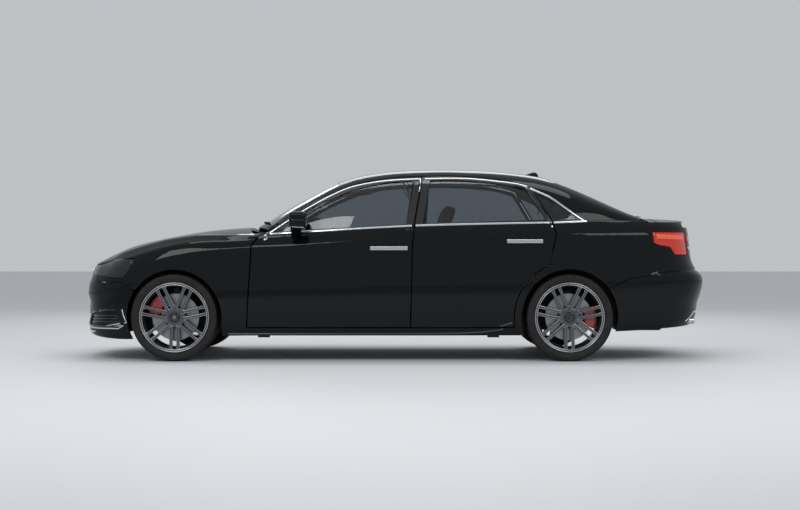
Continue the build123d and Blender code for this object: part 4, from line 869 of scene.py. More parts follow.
for side, hand in HANDS:
    front_search = tree_of(f"front_door_{hand}")
    rear_search = tree_of(f"rear_door_{hand}")
    side_plate(f"pillar_cover_front_{hand}", ((0.083, 1.056), (0.1375, 1.056), (0.2000, 1.404), (0.1480, 1.396)), front_search,
               side, piano_black, f"front_door_{hand}")
    side_plate(f"pillar_cover_rear_{hand}", ((0.1535, 1.056), (0.212, 1.060), (0.2720, 1.408), (0.2155, 1.408)), rear_search,
               side, piano_black, f"rear_door_{hand}")
    trim(f"divider_bar_{hand}", ((1.192, 1.086), (1.130, 1.186), (1.068, 1.286), (1.028, 1.350)), rear_search, side, 0.0130,
         0.0025, piano_black, f"rear_door_{hand}")
    sill_search = tree_of("sills", f"rear_door_{hand}")
    trim(f"sill_line_{hand}", ((-1.300, 0.212), (-0.9, 0.213), (-0.3, 0.214), (0.30, 0.216), (0.62, 0.224), (0.76, 0.238), (0.835, 0.250)),
         tree_of("sills"), side, 0.0060, 0.0040, dark_chrome, "car_body")
    trim(f"door_kick_line_{hand}", ((0.805, 0.274), (0.850, 0.284), (0.905, 0.300)), tree_of(f"rear_door_{hand}"), side,
         0.0060, 0.0040, dark_chrome, f"rear_door_{hand}")

# %% [markdown]
# ## Lamps
# A lamp is a clear lens over a dark bowl with the optics inside. The CAD lamp is one solid in the right place, so its
# outer faces become the lens, and the same faces pushed inwards, with a wall round them, become the bowl.


# %% A lens and a bowl from a CAD solid
def outer_sheet(node, side, reach, inner=(0.0, 0.0, 0.6), threshold=0.45):
    """The faces of a CAD node on one side of the car that look away from the car's middle, merged into a sheet."""
    made = bmesh.new()
    made.from_mesh(nodes[node].data)
    bmesh.ops.remove_doubles(made, verts=made.verts, dist=0.00002)
    made.normal_update()
    drop = []
    for face in made.faces:
        middle = face.calc_center_median()
        away = (middle - Vector((middle.x * reach, middle.y * 0.35, inner[2]))).normalized()
        if middle.y * side < 0 or face.normal.dot(away) < threshold:
            drop.append(face)
    bmesh.ops.delete(made, geom=drop, context="FACES")
    loose = [v for v in made.verts if not v.link_faces]
    bmesh.ops.delete(made, geom=loose, context="VERTS")
    return made


def sheet_object(name, made, material, shift, thickness):
    """The sheet moved along its normals, with a live Solidify for its wall."""
    made.normal_update()
    normals = [v.normal.copy() for v in made.verts]
    for v, n in zip(made.verts, normals):
        v.co += n * shift
    mesh = bpy.data.meshes.new(name)
    made.to_mesh(mesh)
    made.free()
    mesh.polygons.foreach_set("use_smooth", [True] * len(mesh.polygons))
    mesh.materials.append(material)
    thing = bpy.data.objects.new(name, mesh)
    scene.collection.objects.link(thing)
    wall = thing.modifiers.new("wall", "SOLIDIFY")
    wall.thickness = thickness
    wall.offset = -1.0
    return thing


def bowl_object(name, made, material, depth):
    """The sheet pushed in by depth, with a wall up to where it was."""
    made.normal_update()
    normals = {v.index: v.normal.copy() for v in made.verts}
    made.verts.index_update()
    result = bmesh.ops.extrude_face_region(made, geom=made.faces[:], use_keep_orig=False)
    for item in result["geom"]:
        if isinstance(item, bmesh.types.BMVert):
            item.co -= item.normal.normalized() * depth if item.normal.length > 0 else Vector()
    mesh = bpy.data.meshes.new(name)
    made.to_mesh(mesh)
    made.free()
    mesh.polygons.foreach_set("use_smooth", [True] * len(mesh.polygons))
    mesh.materials.append(material)
    thing = bpy.data.objects.new(name, mesh)
    scene.collection.objects.link(thing)
    return thing


def optic(name, place, aim, radius, length, material_rim, material_lens):
    """A projector: a short turned barrel with a domed glass at its mouth, aimed along a direction."""
    profile = [(radius, -length), (radius, 0.0), (radius * 0.96, 0.003), (radius * 0.86, 0.0025), (radius * 0.84, -0.002)]
    rim = lathe("rim", [(r, y) for r, y in profile], (0, 0, 0), material_rim, steps=32, closed=False)
    dome = [(radius * 0.85, -0.002)] + [(radius * 0.85 * math.cos(a), radius * 0.42 * math.sin(a)) for a in
                                       [math.pi / 2 * k / 7 for k in range(8)]]
    glass = lathe("glass", dome, (0, 0, 0), material_lens, steps=32, closed=False)
    turn = Vector((0, 1, 0)).rotation_difference(Vector(aim).normalized()).to_matrix().to_4x4()
    for thing in (rim, glass):
        thing.data.transform(Matrix.Translation(Vector(place)) @ turn)
    return joined(name, [rim, glass])


# %% Headlamps
for side, hand in HANDS:
    lens = sheet_object(f"headlamp_lens_{hand}", outer_sheet("headlamps", side, 0.75), clear_lens, 0.0008, 0.0022)
    bowl = bowl_object(f"headlamp_bowl_{hand}", outer_sheet("headlamps", side, 0.75), lamp_bowl, 0.036)
    search = tree_of("headlamps")
    parts = []
    for k, (x, z, size) in enumerate(((-2.345, 0.700, 0.022), (-2.285, 0.713, 0.026), (-2.215, 0.730, 0.026))):
        spot, normal = hit_side(search, x, z, side)
        aim = Vector((-0.86, side * 0.42, 0.02))
        parts.append(optic(f"optic_{k}", spot - normal * 0.022, aim, size, 0.03, satin_chrome, lens_glass))
    unit = joined(f"headlamp_optics_{hand}", parts)
    strip = []
    line = ((-2.400, 0.668), (-2.330, 0.664), (-2.262, 0.664), (-2.205, 0.672), (-2.165, 0.700), (-2.128, 0.742), (-2.098, 0.778))
    spots, normals = side_line(line, search, side, 0.012, -0.007)
    strip = sweep(f"day_lamp_{hand}", spots, normals, oval(0.0045, 0.0030, 0.002, 8), light_guide)
    for thing in (lens, bowl, unit, strip):
        place_on(thing, "car_body")
    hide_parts("headlamps")
print("headlamp lens", len(lens.data.polygons), "faces")

# %% [markdown]
# ### Tail lamps
# The tail lamp is ruby acrylic with a dark bowl behind, and bright guides that follow its outline. A red strip also
# crosses the boot lid's edge of the lamp. The lens is thin and glossy, and the guides sit 8 mm behind it.

# %% Tail lamp guides
for side, hand in HANDS:
    lens = sheet_object(f"tail_lens_{hand}", outer_sheet("tail_lamps", side, 0.75), red_skin, 0.0005, 0.0024)
    bowl = bowl_object(f"tail_bowl_{hand}", outer_sheet("tail_lamps", side, 0.75), red_bowl_painted_rib_light, 0.030)
    search = tree_of("tail_lamps")
    guides = []
    for word, line, half_width in (("upper", ((2.022, 0.985), (2.10, 0.984), (2.18, 0.983), (2.26, 0.980)), 0.0055),
                                   ("middle", ((2.032, 0.944), (2.10, 0.940), (2.18, 0.938), (2.262, 0.934)), 0.0040),
                                   ("lower", ((2.200, 0.842), (2.192, 0.862), (2.165, 0.896), (2.10, 0.911), (2.035, 0.922)), 0.0050)):
        spots, normals = side_line(line, search, side, 0.012, -0.008)
        guides.append(sweep(f"tail_guide_{word}", spots, normals, oval(half_width, 0.003, 0.002, 8), red_guide))
    guide = joined(f"tail_guides_{hand}", guides)
    trim(f"tail_band_{hand}", ((2.034, 0.968), (2.10, 0.966), (2.18, 0.964), (2.262, 0.961)), search, side, 0.017, 0.0016,
         amber_lens, "car_body", lift=0.0004, step=0.012)
    for thing in (lens, bowl, guide):
        place_on(thing, "car_body")
    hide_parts("tail_lamps")

# %% [markdown]
# ## The face: grille, intakes and vents
# The CAD grille has the bars. A bright frame stands round it, and each vent in the bumper has a black liner with a
# bright blade.


# %% Frame round the grille
def hit_front(search, y, z, way=-1):
    """Where a ray from the front (-1) or the tail (1) meets the nodes, and the outward normal there."""
    spot, normal, _, _ = search.ray_cast(Vector((way * 4.0, y, z)), Vector((-way, 0, 0)))
    if spot is None:
        spot, normal, _, _ = search.find_nearest(Vector((way * 2.45, y, z)))
    if normal.x * way < 0:
        normal = -normal
    return spot, normal


def front_trim(name, points, search, half_width, height, material, body, way=-1, closed=False, lift=0.0, step=0.015,
               foot=0.004):
    """A crowned strip along a line seen from the front or the tail."""
    path = [Vector((0, y, z)) for y, z in points]
    fine = []
    for a, b in zip(path, path[1:] + (path[:1] if closed else [])):
        count = max(1, round((b - a).length / step))
        fine += [a.lerp(b, k / count) for k in range(count)]
    if not closed:
        fine.append(path[-1])
    spots, normals = [], []
    for p in fine:
        spot, normal = hit_front(search, p.y, p.z, way)
        spots.append(spot + normal * lift)
        normals.append(normal)
    for _ in range(3):
        last = len(normals) - 1
        normals = [(normals[i - 1 if i or closed else 0] + n + normals[(i + 1) % (last + 1) if closed else min(i + 1, last)]).normalized()
                   for i, n in enumerate(normals)]
    strip = sweep(name, spots, normals, oval(half_width, height, foot), material, closed=closed)
    return place_on(strip, body)


def rounded(points, radius, steps=5):
    """A closed outline with its corners rounded."""
    out = []
    count = len(points)
    for i in range(count):
        p = Vector(points[i])
        a = (Vector(points[i - 1]) - p)
        b = (Vector(points[(i + 1) % count]) - p)
        cut = min(radius, a.length * 0.4, b.length * 0.4)
        start, end = p + a.normalized() * cut, p + b.normalized() * cut
        for k in range(steps + 1):
            t = k / steps
            out.append(tuple(start * (1 - t) ** 2 + p * 2 * t * (1 - t) + end * t ** 2))
    return out


GRILLE_EDGE = ((-0.350, 0.700), (-0.330, 0.722), (0.330, 0.722), (0.350, 0.700), (0.285, 0.462), (0.262, 0.445),
               (-0.262, 0.445), (-0.285, 0.462))
face_search = tree_of("front_bumper", "grille", "bonnet", "lower_intake", "front_wings", "headlamps")
front_trim("grille_frame", rounded([(y * 1.012, 0.5835 + (z - 0.5835) * 1.02) for y, z in GRILLE_EDGE], 0.03), face_search, 0.011,
           0.007, bright_trim, "car_body", closed=True)
for k, z in enumerate(range(476, 700, 30)):
    reach = 0.268 + (z - 476) / 224 * 0.055
    front_trim(f"grille_blade_{k}", [(-reach, z / 1000), (reach, z / 1000)], tree_of("grille"), 0.0036, 0.0030, satin_chrome, "car_body",
               step=0.03)

# %% Lower intake: a bright lower blade, and a frame round each vent with a mesh behind
INTAKE_EDGE = ((-0.360, 0.245), (-0.395, 0.372), (0.395, 0.372), (0.360, 0.245))
VENT_EDGE = ((-0.820, 0.262), (-0.800, 0.400), (-0.520, 0.360), (-0.505, 0.262))
front_trim("intake_rim", rounded(INTAKE_EDGE, 0.02), face_search, 0.006, 0.004, piano_black, "car_body", closed=True)
front_trim("splitter_blade", [(-0.62, 0.218), (0.0, 0.214), (0.62, 0.218)], tree_of("front_bumper"), 0.007, 0.005, bright_trim,
           "car_body", step=0.02)
for side, hand in HANDS:
    edge = rounded([(y * -side, z) for y, z in VENT_EDGE], 0.025)
    front_trim(f"vent_rim_{hand}", edge, face_search, 0.0065, 0.004, piano_black, "car_body", closed=True)
    for k, z in enumerate((0.292, 0.316, 0.340)):
        low, high = 0.520 + 0.0 * k, 0.795
        front_trim(f"vent_slat_{k}_{hand}", [(side * low, z), (side * high, z + 0.012)], tree_of("front_bumper"), 0.0042, 0.006,
                   piano_black, "car_body", step=0.02)
    front_trim(f"vent_blade_{hand}", [(side * 0.490, 0.252), (side * 0.66, 0.248), (side * 0.80, 0.250), (side * 0.838, 0.285),
                                      (side * 0.828, 0.400)],
               face_search, 0.0055, 0.0045, bright_trim, "car_body", step=0.015)

# %% [markdown]
# ## The tail
# A bright strip crosses the boot lid between the lamps, the plate recess holds a blank plate, and two flat pipe ends
# sit in the bumper's lower black panel. Small round sensors are pressed into both bumpers.

# %% Tail trim, plates and sensors
tail_search = tree_of("rear_bumper", "boot_lid", "quarter_panels")
front_trim("boot_strip", [(-0.60, 0.880), (0, 0.890), (0.60, 0.880)], tree_of("boot_lid"), 0.009, 0.006, bright_trim, "boot_lid",
           way=1, step=0.02)
front_trim("boot_lamp_strip", [(-0.64, 0.962), (0, 0.968), (0.64, 0.962)], tree_of("boot_lid"), 0.013, 0.005, red_skin,
           "boot_lid", way=1, step=0.02)
front_trim("tail_valance", [(-0.66, 0.300), (-0.58, 0.372), (0.58, 0.372), (0.66, 0.300)], tree_of("rear_bumper"), 0.006, 0.005,
           bright_trim, "car_body", way=1, step=0.02)


def plate(name, x, way, z, body):
    """A blank number plate with a raised rim, in a slim holder of the same finish."""
    rim = rounded([(-0.260, z - 0.056), (-0.260, z + 0.056), (0.260, z + 0.056), (0.260, z - 0.056)], 0.012)
    points, faces = [], []
    for out, inset in ((-0.004, 0.0), (0.0030, 0.0), (0.0034, 0.0025), (0.0026, 0.0045), (0.0024, 0.0060)):
        for y, h in rim:
            share_y = 1 - inset / 0.26
            share_z = 1 - inset / 0.056
            points.append((x + way * out, y * share_y, z + (h - z) * share_z))
    width = len(rim)
    for ring in range(4):
        a, b = ring * width, (ring + 1) * width
        faces += [(a + k, a + (k + 1) % width, b + (k + 1) % width, b + k) for k in range(width)]
    faces.append(tuple(range(4 * width, 5 * width)))
    thing = mesh_piece(name, points, faces, plate_blank, smooth=False)
    return place_on(thing, body)


plate("rear_plate", 2.474, 1, 0.530, "car_body")
bar_spot, _ = hit_front(tree_of("front_bumper"), 0.0, 0.405)
plate("front_plate", bar_spot.x - 0.006, -1, 0.405, "car_body")
for way, word, z, search in ((-1, "front", 0.515, tree_of("front_bumper")), (1, "rear", 0.560, tree_of("rear_bumper"))):
    discs = []
    for y in (-0.66, -0.36, 0.36, 0.66) if way == 1 else (-0.68, -0.42, 0.42, 0.68):
        spot, normal = hit_front(search, y, z, way)
        disc = lathe("sensor", [(0.0, -0.004), (0.0105, -0.004), (0.0105, 0.0006), (0.0085, 0.0010), (0.0078, 0.0004), (0.0, 0.0006)],
                     (0, 0, 0), black_paint, steps=24)
        turn = Vector((0, 1, 0)).rotation_difference(normal).to_matrix().to_4x4()
        disc.data.transform(Matrix.Translation(spot) @ turn)
        discs.append(disc)
    place_on(joined(f"sensors_{word}", discs), "car_body")


def pipe_end(side):
    """A flat oval exhaust outlet: an outer bright band with a dark throat."""
    points, faces = [], []
    spot, _ = hit_front(tree_of("rear_bumper"), side * 0.52, 0.300, 1)
    mouth = spot.x + 0.004
    rings = ((mouth - 0.090, 0.088, 0.026), (mouth - 0.005, 0.090, 0.028), (mouth, 0.089, 0.027), (mouth, 0.085, 0.023),
             (mouth - 0.020, 0.083, 0.022), (mouth - 0.080, 0.080, 0.020))
    for x, half_width, half_height in rings:
        for k in range(40):
            a = 2 * math.pi * k / 40
            y = half_width * math.copysign(abs(math.cos(a)) ** 0.55, math.cos(a))
            z = half_height * math.copysign(abs(math.sin(a)) ** 0.75, math.sin(a))
            points.append((x, side * 0.52 + y, 0.302 + z))
    for ring in range(len(rings) - 1):
        a, b = ring * 40, (ring + 1) * 40
        faces += [(a + k, a + (k + 1) % 40, b + (k + 1) % 40, b + k) for k in range(40)]
    faces.append(tuple(range((len(rings) - 1) * 40, len(rings) * 40)))
    return mesh_piece("pipe_end", points, faces, satin_chrome)


for side, hand in HANDS:
    place_on(pipe_end(side), "car_body").name = f"pipe_end_{hand}"

# %% [markdown]
# ## Mirrors, aerial and wipers
# The mirror housing is CAD. It gets its glass, a bright edge and a turn-signal strip. The aerial is a shark fin on the
# roof's rear centre, and two wipers rest at the foot of the windscreen.


# %% Mirror parts
def quad_sheet(name, outline, x, bulge, material, toward):
    """A slightly domed sheet that fills an outline in the y-z plane at x."""
    count = len(outline)
    middle = Vector((0, sum(p[0] for p in outline) / count, sum(p[1] for p in outline) / count))
    points, faces = [(x + toward * bulge, middle.y, middle.z)], []
    for share in (0.5, 0.85, 1.0):
        for y, z in outline:
            points.append((x + toward * bulge * (1 - share ** 2), middle.y + (y - middle.y) * share, middle.z + (z - middle.z) * share))
    faces += [(0, 1 + k, 1 + (k + 1) % count) for k in range(count)]
    for ring in range(2):
        a, b = 1 + ring * count, 1 + (ring + 1) * count
        faces += [(a + k, a + (k + 1) % count, b + (k + 1) % count, b + k) for k in range(count)]
    return mesh_piece(name, points, faces, material)


for side, hand in HANDS:
    edge = rounded([(side * 0.926, 1.050), (side * 0.926, 1.138), (side * 1.076, 1.138), (side * 1.076, 1.050)], 0.022, 6)
    glass = quad_sheet(f"mirror_glass_{hand}", edge, -0.6835, 0.0015, mirror_glass, 1)
    place_on(glass, f"front_door_{hand}")
    mirror_search = tree_of(f"door_mirror_{hand}")
    trim(f"mirror_signal_{hand}", ((-0.795, 1.092), (-0.740, 1.090), (-0.695, 1.090)), mirror_search, side, 0.0045, 0.0020, clear_lens,
         f"front_door_{hand}", step=0.01)
    trim(f"mirror_edge_{hand}", ((-0.788, 1.040), (-0.74, 1.036), (-0.69, 1.036)), mirror_search, side, 0.0040, 0.0025, bright_trim,
         f"front_door_{hand}", step=0.01)


# %% Aerial fin and wipers
def top_hit(search, x, y):
    spot, normal, _, _ = search.ray_cast(Vector((x, y, 3.0)), Vector((0, 0, -1)))
    return spot, normal


roof_search = tree_of("roof", "rear_window", "upper_frames")
FIN_COLUMNS = ("x from its front", "half width", "height")
FIN = ((0.000, 0.004, 0.001), (0.020, 0.012, 0.008), (0.050, 0.020, 0.022), (0.085, 0.025, 0.041), (0.110, 0.026, 0.052),
       (0.126, 0.024, 0.053), (0.140, 0.018, 0.046), (0.150, 0.010, 0.026), (0.154, 0.005, 0.004))
points, faces = [], []
fin_x = 1.035
for dx, half_width, height in FIN:
    spot, _ = top_hit(roof_search, fin_x + dx, 0.0)
    for k in range(13):
        a = math.pi * k / 12
        points.append((fin_x + dx, half_width * math.cos(a), spot.z - 0.003 + (height + 0.003) * math.sin(a) ** 0.9 *
                       (1 - 0.35 * abs(math.cos(a)) ** 2)))
for ring in range(len(FIN) - 1):
    a, b = ring * 13, (ring + 1) * 13
    faces += [(a + k, a + k + 1, b + k + 1, b + k) for k in range(12)]
faces += [tuple(range(13)), tuple(range(len(points) - 13, len(points)))]
place_on(mesh_piece("aerial_fin", points, faces, black_paint), "car_body")

screen_search = tree_of("windscreen", "upper_frames", "cowl_tray")
for word, y0, y1, back in (("left", -0.62, -0.02, 0.0), ("right", 0.02, 0.55, 0.004)):
    path, ups = [], []
    for k in range(25):
        y = y0 + (y1 - y0) * k / 24
        x = -1.082 + 0.118 * (y / 0.738) ** 2 * 1.0 + 0.010 + back
        spot, normal = top_hit(screen_search, x, y)
        path.append(spot + normal * 0.009)
        ups.append(normal)
    blade = sweep("blade", path, ups, ((-0.004, -0.006), (-0.008, 0.002), (-0.006, 0.008), (0.0, 0.010), (0.006, 0.006), (0.003, -0.006)),
                  grained_plastic)
    lip = sweep("lip", [p - u * 0.004 for p, u in zip(path, ups)], ups, ((-0.002, -0.006), (-0.002, 0.002), (0.002, 0.002), (0.001, -0.006)),
                rubber_seal)
    wiper = joined(f"wiper_{word}", [blade, lip])
    place_on(wiper, "car_body")

# %% [markdown]
# ## Seats
# Car seats are foam cushions under a leather cover, sewn from panels. Each cushion here is a fine grid folded into a
# rounded box. Its faces are crowned, its sides pull in between the corners, and the sewn channels are pressed into it.


# %% A padded cushion
def cushion(name, size, matrix, body, crown=0.022, channels=(), bolster=0.0, cells=22):
    """A leather cushion of that full size about its own centre: channels are (axis, place, half width, depth)."""
    made = bmesh.new()
    bmesh.ops.create_cube(made, size=2.0)
    bmesh.ops.subdivide_edges(made, edges=made.edges[:], cuts=cells, use_grid_fill=True)
    half = Vector(size) / 2
    corner = min(half) * 0.62
    for v in made.verts:
        u = Vector([max(-1.0, min(1.0, c)) for c in v.co])
        box = Vector([u[i] * half[i] for i in range(3)])
        core = Vector([max(-(half[i] - corner), min(half[i] - corner, box[i])) for i in range(3)])
        away = box - core
        if away.length > 1e-9:
            box = core + away.normalized() * corner if min(abs(away[i]) for i in range(3)) > 1e-9 or sum(
                abs(away[i]) > 1e-9 for i in range(3)) > 1 else box
        swell = crown * (1 - u.x ** 2) * (1 - u.y ** 2)
        if abs(u.z) > 0.999:
            box.z += math.copysign(swell, u.z)
        side_pull = 0.35 * crown * (1 - u.z ** 2)
        for axis in (0, 1):
            if abs(u[axis]) > 0.999:
                other = u[1 - axis]
                box[axis] -= math.copysign(side_pull * (1 - other ** 2), u[axis])
        if u.z > 0.2:
            rise = bolster * max(0.0, (abs(u.y) - 0.62) / 0.38) ** 1.3 * min(1.0, (1 - abs(u.y)) / 0.12 + 0.35)
            box.z += rise
        if u.z > 0.5:
            for axis, place, wide, deep in channels:
                gap = (u[axis] - place) * half[axis] / wide
                other = abs(u[1 - axis])
                if abs(gap) < 3 and other < 0.90:
                    box.z -= deep * math.exp(-gap * gap)
        v.co = box
    made.normal_update()
    mesh = bpy.data.meshes.new(name)
    made.to_mesh(mesh)
    made.free()
    mesh.transform(matrix)
    mesh.polygons.foreach_set("use_smooth", [True] * len(mesh.polygons))
    mesh.materials.append(leather)
    thing = bpy.data.objects.new(name, mesh)
    scene.collection.objects.link(thing)
    place_on(thing, body)
    return thing


def stitch_unit():
    """One stitch, 7 mm long: a short waxed thread with rounded ends."""
    points = [(x, 0.0009 * math.cos(a) * w, 0.0009 * math.sin(a) * w) for x, w in
              ((-0.0030, 0.45), (-0.0018, 1.0), (0.0018, 1.0), (0.0030, 0.45)) for a in [math.pi * k / 2 for k in range(4)]]
    faces = [(r * 4 + k, r * 4 + (k + 1) % 4, r * 4 + 4 + (k + 1) % 4, r * 4 + 4 + k) for r in range(3) for k in range(4)]
    return mesh_piece("stitch_unit", points, faces + [(0, 1, 2, 3), (12, 13, 14, 15)], thread)


def placed_by(x, y, z, lean=0.0):
    """A cushion's place: its centre, and its lean towards the tail in degrees."""
    return Matrix.Translation((x, y, z)) @ Matrix.Rotation(math.radians(lean), 4, "Y")


def leaning(foot, along, out, lean):
    """A cushion that stands on its edge, its face to the nose, along metres up a line that leans lean degrees back."""
    turn = Matrix.Rotation(math.radians(lean), 4, "Y")
    return Matrix.Translation(foot) @ turn @ Matrix.Translation((out, 0, along)) @ Matrix.Rotation(-math.pi / 2, 4, "Y")


# %% Front seats
seat_pieces = []
for side, hand in HANDS:
    y = side * 0.390
    lower = cushion(f"front_cushion_{hand}", (0.500, 0.460, 0.160), placed_by(-0.118, y, 0.352, 3), "car_body", 0.016,
                    ((0, -0.45, 0.006, 0.012), (0, -0.1, 0.006, 0.012), (0, 0.25, 0.006, 0.012), (1, -0.55, 0.005, 0.012),
                     (1, 0.55, 0.005, 0.012)), 0.022)
    upper = cushion(f"front_back_{hand}", (0.660, 0.450, 0.115), leaning((0.130, y, 0.430), 0.335, 0.004, 22), "car_body", 0.014,
                    ((0, -0.5, 0.006, 0.012), (0, -0.2, 0.006, 0.012), (0, 0.1, 0.006, 0.012), (0, 0.4, 0.006, 0.012),
                     (1, -0.55, 0.005, 0.012), (1, 0.55, 0.005, 0.012)), 0.020)
    head = cushion(f"front_head_pad_{hand}", (0.160, 0.250, 0.080), leaning((0.130, y, 0.430), 0.760, 0.004, 22), "car_body", 0.010,
                   ((1, -0.5, 0.004, 0.006), (1, 0.5, 0.004, 0.006)), cells=14)
    base = [(-0.350, 0.218), (-0.350, 0.288), (-0.300, 0.300), (0.080, 0.300), (0.118, 0.285), (0.118, 0.218)]
    points = [(x, y + s * 0.165, z) for s in (-1, 1) for x, z in base]
    count = len(base)
    faces = [tuple(range(count)), tuple(range(count, 2 * count))]
    faces += [(k, (k + 1) % count, count + (k + 1) % count, count + k) for k in range(count)]
    box = place_on(mesh_piece(f"front_seat_base_{hand}", points, faces, soft_plastic, smooth=False), "car_body")
    posts = []
    for s in (-1, 1):
        foot = leaning((0.130, y + s * 0.055, 0.430), 0.640, 0.004, 22) @ Vector((0, 0, 0))
        top = leaning((0.130, y + s * 0.055, 0.430), 0.740, 0.004, 22) @ Vector((0, 0, 0))
        posts.append(sweep("post", [foot, foot.lerp(top, 0.5), top], [Vector((1, 0, 0))] * 3,
                           [(0.006 * math.cos(a), 0.006 * math.sin(a)) for a in [math.pi * k / 6 for k in range(12)]], satin_chrome))
    place_on(joined(f"head_pad_posts_{hand}", posts), "car_body")
    seat_pieces += [lower, upper, head, box]
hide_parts("front_seats")

# %% Rear bench
bench = [cushion("rear_cushion", (0.540, 1.060, 0.180), placed_by(0.965, 0, 0.350, 2), "car_body", 0.014,
                 ((0, -0.4, 0.006, 0.012), (0, 0.0, 0.006, 0.012), (0, 0.4, 0.006, 0.012), (1, -0.30, 0.006, 0.014), (1, 0.30, 0.006, 0.014)), cells=26)]
for y, wide in ((-0.360, 0.350), (0.0, 0.355), (0.360, 0.350)):
    word = "left" if y < -0.1 else "right" if y > 0.1 else "middle"
    bench.append(cushion(f"rear_back_{word}", (0.600, wide, 0.120), leaning((1.230, y, 0.430), 0.300, 0.006, 24), "car_body", 0.014,
                         ((0, -0.5, 0.006, 0.012), (0, -0.15, 0.006, 0.012), (0, 0.2, 0.006, 0.012), (0, 0.55, 0.006, 0.012))))
    bench.append(cushion(f"rear_head_pad_{word}", (0.140, 0.240, 0.080), leaning((1.230, y * 380 / 360, 0.430), 0.680, 0.004, 24),
                         "car_body", 0.010, cells=14))
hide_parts("rear_bench")
print("seats", len(seat_pieces) + len(bench), "pieces")

# %% [markdown]
# ## Dashboard and steering wheel
# The dashboard's CAD block keeps its place. On it go a hooded instrument screen, a centre screen, a row of vents with
# slats, a bright strip and a leather top pad. The steering wheel's rim and spokes are CAD, and get a bright ring and a
# padded boss.


# %% Dashboard pieces
def slab_piece(name, outline, y0, y1, material, body, bevel=0.004):
    """A side-view outline drawn across the car from y0 to y1, its edges bevelled by a live modifier."""
    count = len(outline)
    points = [(x, y, z) for y in (y0, y1) for x, z in outline]
    faces = [tuple(range(count)), tuple(range(count, 2 * count))]
    faces += [(k, (k + 1) % count, count + (k + 1) % count, count + k) for k in range(count)]
    thing = mesh_piece(name, points, faces, material, smooth=False)
    round_edges = thing.modifiers.new("bevel", "BEVEL")
    round_edges.width = bevel
    round_edges.segments = 3
    return place_on(thing, body)


slab_piece("instrument_hood", ((-0.830, 0.905), (-0.800, 0.958), (-0.690, 0.962), (-0.676, 0.945), (-0.760, 0.905)), -0.560, -0.200,
           soft_plastic, "car_body", 0.010)
slab_piece("instrument_screen", ((-0.700, 0.870), (-0.712, 0.944), (-0.706, 0.945), (-0.694, 0.871)), -0.530, -0.230, mirror_glass,
           "car_body", 0.002)
slab_piece("centre_screen", ((-0.700, 0.905), (-0.716, 0.995), (-0.706, 0.997), (-0.690, 0.907)), -0.150, 0.150, piano_black,
           "car_body", 0.004)
slab_piece("dash_strip", ((-0.694, 0.800), (-0.694, 0.812), (-0.688, 0.812), (-0.688, 0.800)), -0.690, 0.690, satin_chrome,
           "car_body", 0.002)
slab_piece("dash_pad", ((-1.020, 0.908), (-0.955, 0.934), (-0.770, 0.914), (-0.700, 0.862), (-0.690, 0.842), (-0.730, 0.880), (-0.960, 0.915)),
           -0.695, 0.695, leather, "car_body", 0.006)
slab_piece("centre_console", ((-0.740, 0.335), (-0.720, 0.700), (-0.640, 0.620), (-0.420, 0.520), (0.120, 0.520), (0.180, 0.470),
                             (0.180, 0.335)), -0.105, 0.105, soft_plastic, "car_body", 0.012)
slab_piece("console_lid", ((-0.300, 0.520), (-0.300, 0.535), (0.100, 0.535), (0.130, 0.522)), -0.095, 0.095, leather, "car_body",
           0.006)
unit_slat = mesh_piece("vent_unit", [(x, y, z) for x in (-0.004, 0.004) for y in (-0.055, 0.055) for z in (-0.0012, 0.0012)],
                       [(0, 1, 3, 2), (4, 6, 7, 5), (0, 4, 5, 1), (2, 3, 7, 6), (0, 2, 6, 4), (1, 5, 7, 3)], piano_black, smooth=False)
master = unit_slat.data.copy()
for k, y in enumerate((-0.600, -0.075, 0.075, 0.600)):
    unit = bpy.data.objects.new("vent_unit", master.copy())
    scene.collection.objects.link(unit)
    slats = repeat(f"dash_vent_{k}", unit, 7, piano_black, step=(0, 0, 0.0075), centre=(-0.692, y, 0.742))
    place_on(slats, "car_body")
bpy.data.objects.remove(unit_slat)

# %% Steering wheel boss and ring
tilt = Matrix.Translation((-0.590, -0.380, 0.800)) @ Matrix.Rotation(math.radians(66), 4, "Y")
boss = [(0.0, 0.030), (0.030, 0.0295), (0.050, 0.027), (0.062, 0.020), (0.066, 0.008), (0.064, -0.006), (0.0, -0.006)]
ring = [(0.0335, 0.0290), (0.0345, 0.0312), (0.0375, 0.0312), (0.0385, 0.0285)]
parts = [lathe("boss", boss, (0, 0, 0), soft_plastic, steps=48), lathe("boss_ring", ring, (0, 0, 0), satin_chrome, steps=48)]
for part in parts:
    part.data.transform(tilt @ Matrix.Rotation(math.pi / 2, 4, "X"))
place_on(joined("steering_boss", parts), "car_body")

# %% [markdown]
# ## Under the bonnet
# The engine is one CAD block. A moulded cover with raised ribs and an oil cap lies on top of it.

# %% Engine cover
COVER_HALF_WIDTH = 0.212
COVER_SIDE = ((-2.032, 0.796), (-2.034, 0.822), (-1.985, 0.842), (-1.520, 0.854), (-1.436, 0.830), (-1.432, 0.796))
RIB_ENDS = (Vector((-1.955, 0, 0.8425)), Vector((-1.560, 0, 0.8527)))
RIB_COUNT = 7
RIB_PITCH = 0.052
slab_piece("engine_cover", COVER_SIDE, -COVER_HALF_WIDTH, COVER_HALF_WIDTH, soft_plastic, "car_body", 0.014)
rib = sweep("cover_rib", resample(RIB_ENDS, 0.02), [Vector((0, 0, 1))] * len(resample(RIB_ENDS, 0.02)),
            oval(0.012, 0.007, 0.004, 8), soft_plastic)
ribs = repeat("engine_cover_ribs", rib, RIB_COUNT, piano_black, step=(0, RIB_PITCH, 0),
              centre=(0, -RIB_PITCH * (RIB_COUNT - 1) / 2, 0))
place_on(ribs, "car_body")
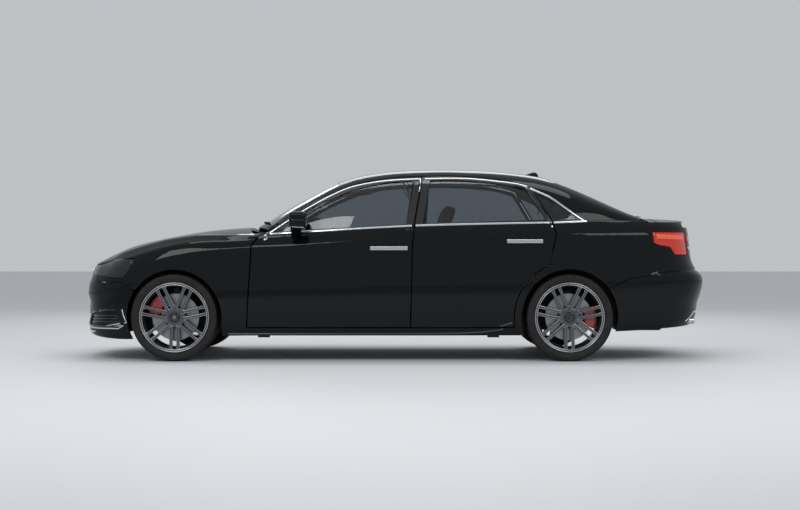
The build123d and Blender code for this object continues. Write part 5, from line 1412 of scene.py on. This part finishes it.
cap = lathe("oil_cap", [(0.0, 0.016), (0.022, 0.016), (0.026, 0.012), (0.027, 0.0), (0.034, -0.002), (0.034, -0.010), (0.0, -0.010)],
            (0, 0, 0), grained_plastic, steps=40)
cap.data.transform(Matrix.Translation((-1.500, 0.130, 0.858)) @ Matrix.Rotation(math.pi / 2, 4, "X"))
place_on(cap, "car_body")
print("engine cover with", RIB_COUNT, "ribs")

# %% [markdown]
# ## Floor mats
# Four rubber-backed mats with a low carpet pile lie on the floor, in front of the seats.

# %% Mats
for side in (-1, 1):
    for word, x0, x1 in (("front", -0.98, -0.42), ("rear", 0.18, 0.66)):
        edge = rounded([(x0, side * 0.16), (x0, side * 0.60), (x1, side * 0.60), (x1, side * 0.16)], 0.05, 6)
        count = len(edge)
        points = [(x, y, z) for z in (0.2165, 0.2265) for x, y in edge]
        points.append(((x0 + x1) / 2, side * 0.38, 0.2275))
        faces = [(k, (k + 1) % count, count + (k + 1) % count, count + k) for k in range(count)]
        faces += [(count + k, count + (k + 1) % count, 2 * count) for k in range(count)] + [tuple(range(count))]
        hand = "left" if side < 0 else "right"
        place_on(mesh_piece(f"mat_{word}_{hand}", points, faces, carpet), "car_body")


# %% [markdown]
# ## Floor, backdrop and lamps

# %% Studio
bpy.ops.mesh.primitive_plane_add(size=80, location=(0, 0, 0))
floor = bpy.context.object
floor.name = "studio_floor"
floor_paint, tree, shader = finish("pale_studio_floor", "#D4D6D8", 0.6)
floor.data.materials.append(floor_paint)

world = bpy.data.worlds.new("studio")
scene.world = world
world.use_nodes = True
back = world.node_tree.nodes["Background"]
back.inputs["Color"].default_value = colour("#D8DBDF")
back.inputs["Strength"].default_value = 0.75


def soft_lamp(name, place, aim, width, height, power):
    """A plain rectangular soft box that points at aim."""
    light = bpy.data.lights.new(name, "AREA")
    light.shape = "RECTANGLE"
    light.size = width
    light.size_y = height
    light.energy = power
    thing = bpy.data.objects.new(name, light)
    thing.location = place
    thing.rotation_euler = (Vector(aim) - Vector(place)).to_track_quat("-Z", "Y").to_euler()
    scene.collection.objects.link(thing)


soft_lamp("key", (-3.5, -6.5, 5.5), (0, 0, 0.6), 5.0, 2.5, 190)
soft_lamp("fill", (4.5, -6.0, 4.5), (0, 0, 0.6), 4.0, 2.5, 120)
soft_lamp("top", (0, 0.5, 6.5), (0, 0, 0.5), 7.0, 2.5, 150)
soft_lamp("rim", (0, 7.0, 4.5), (0, 0, 0.8), 6.0, 2.5, 120)
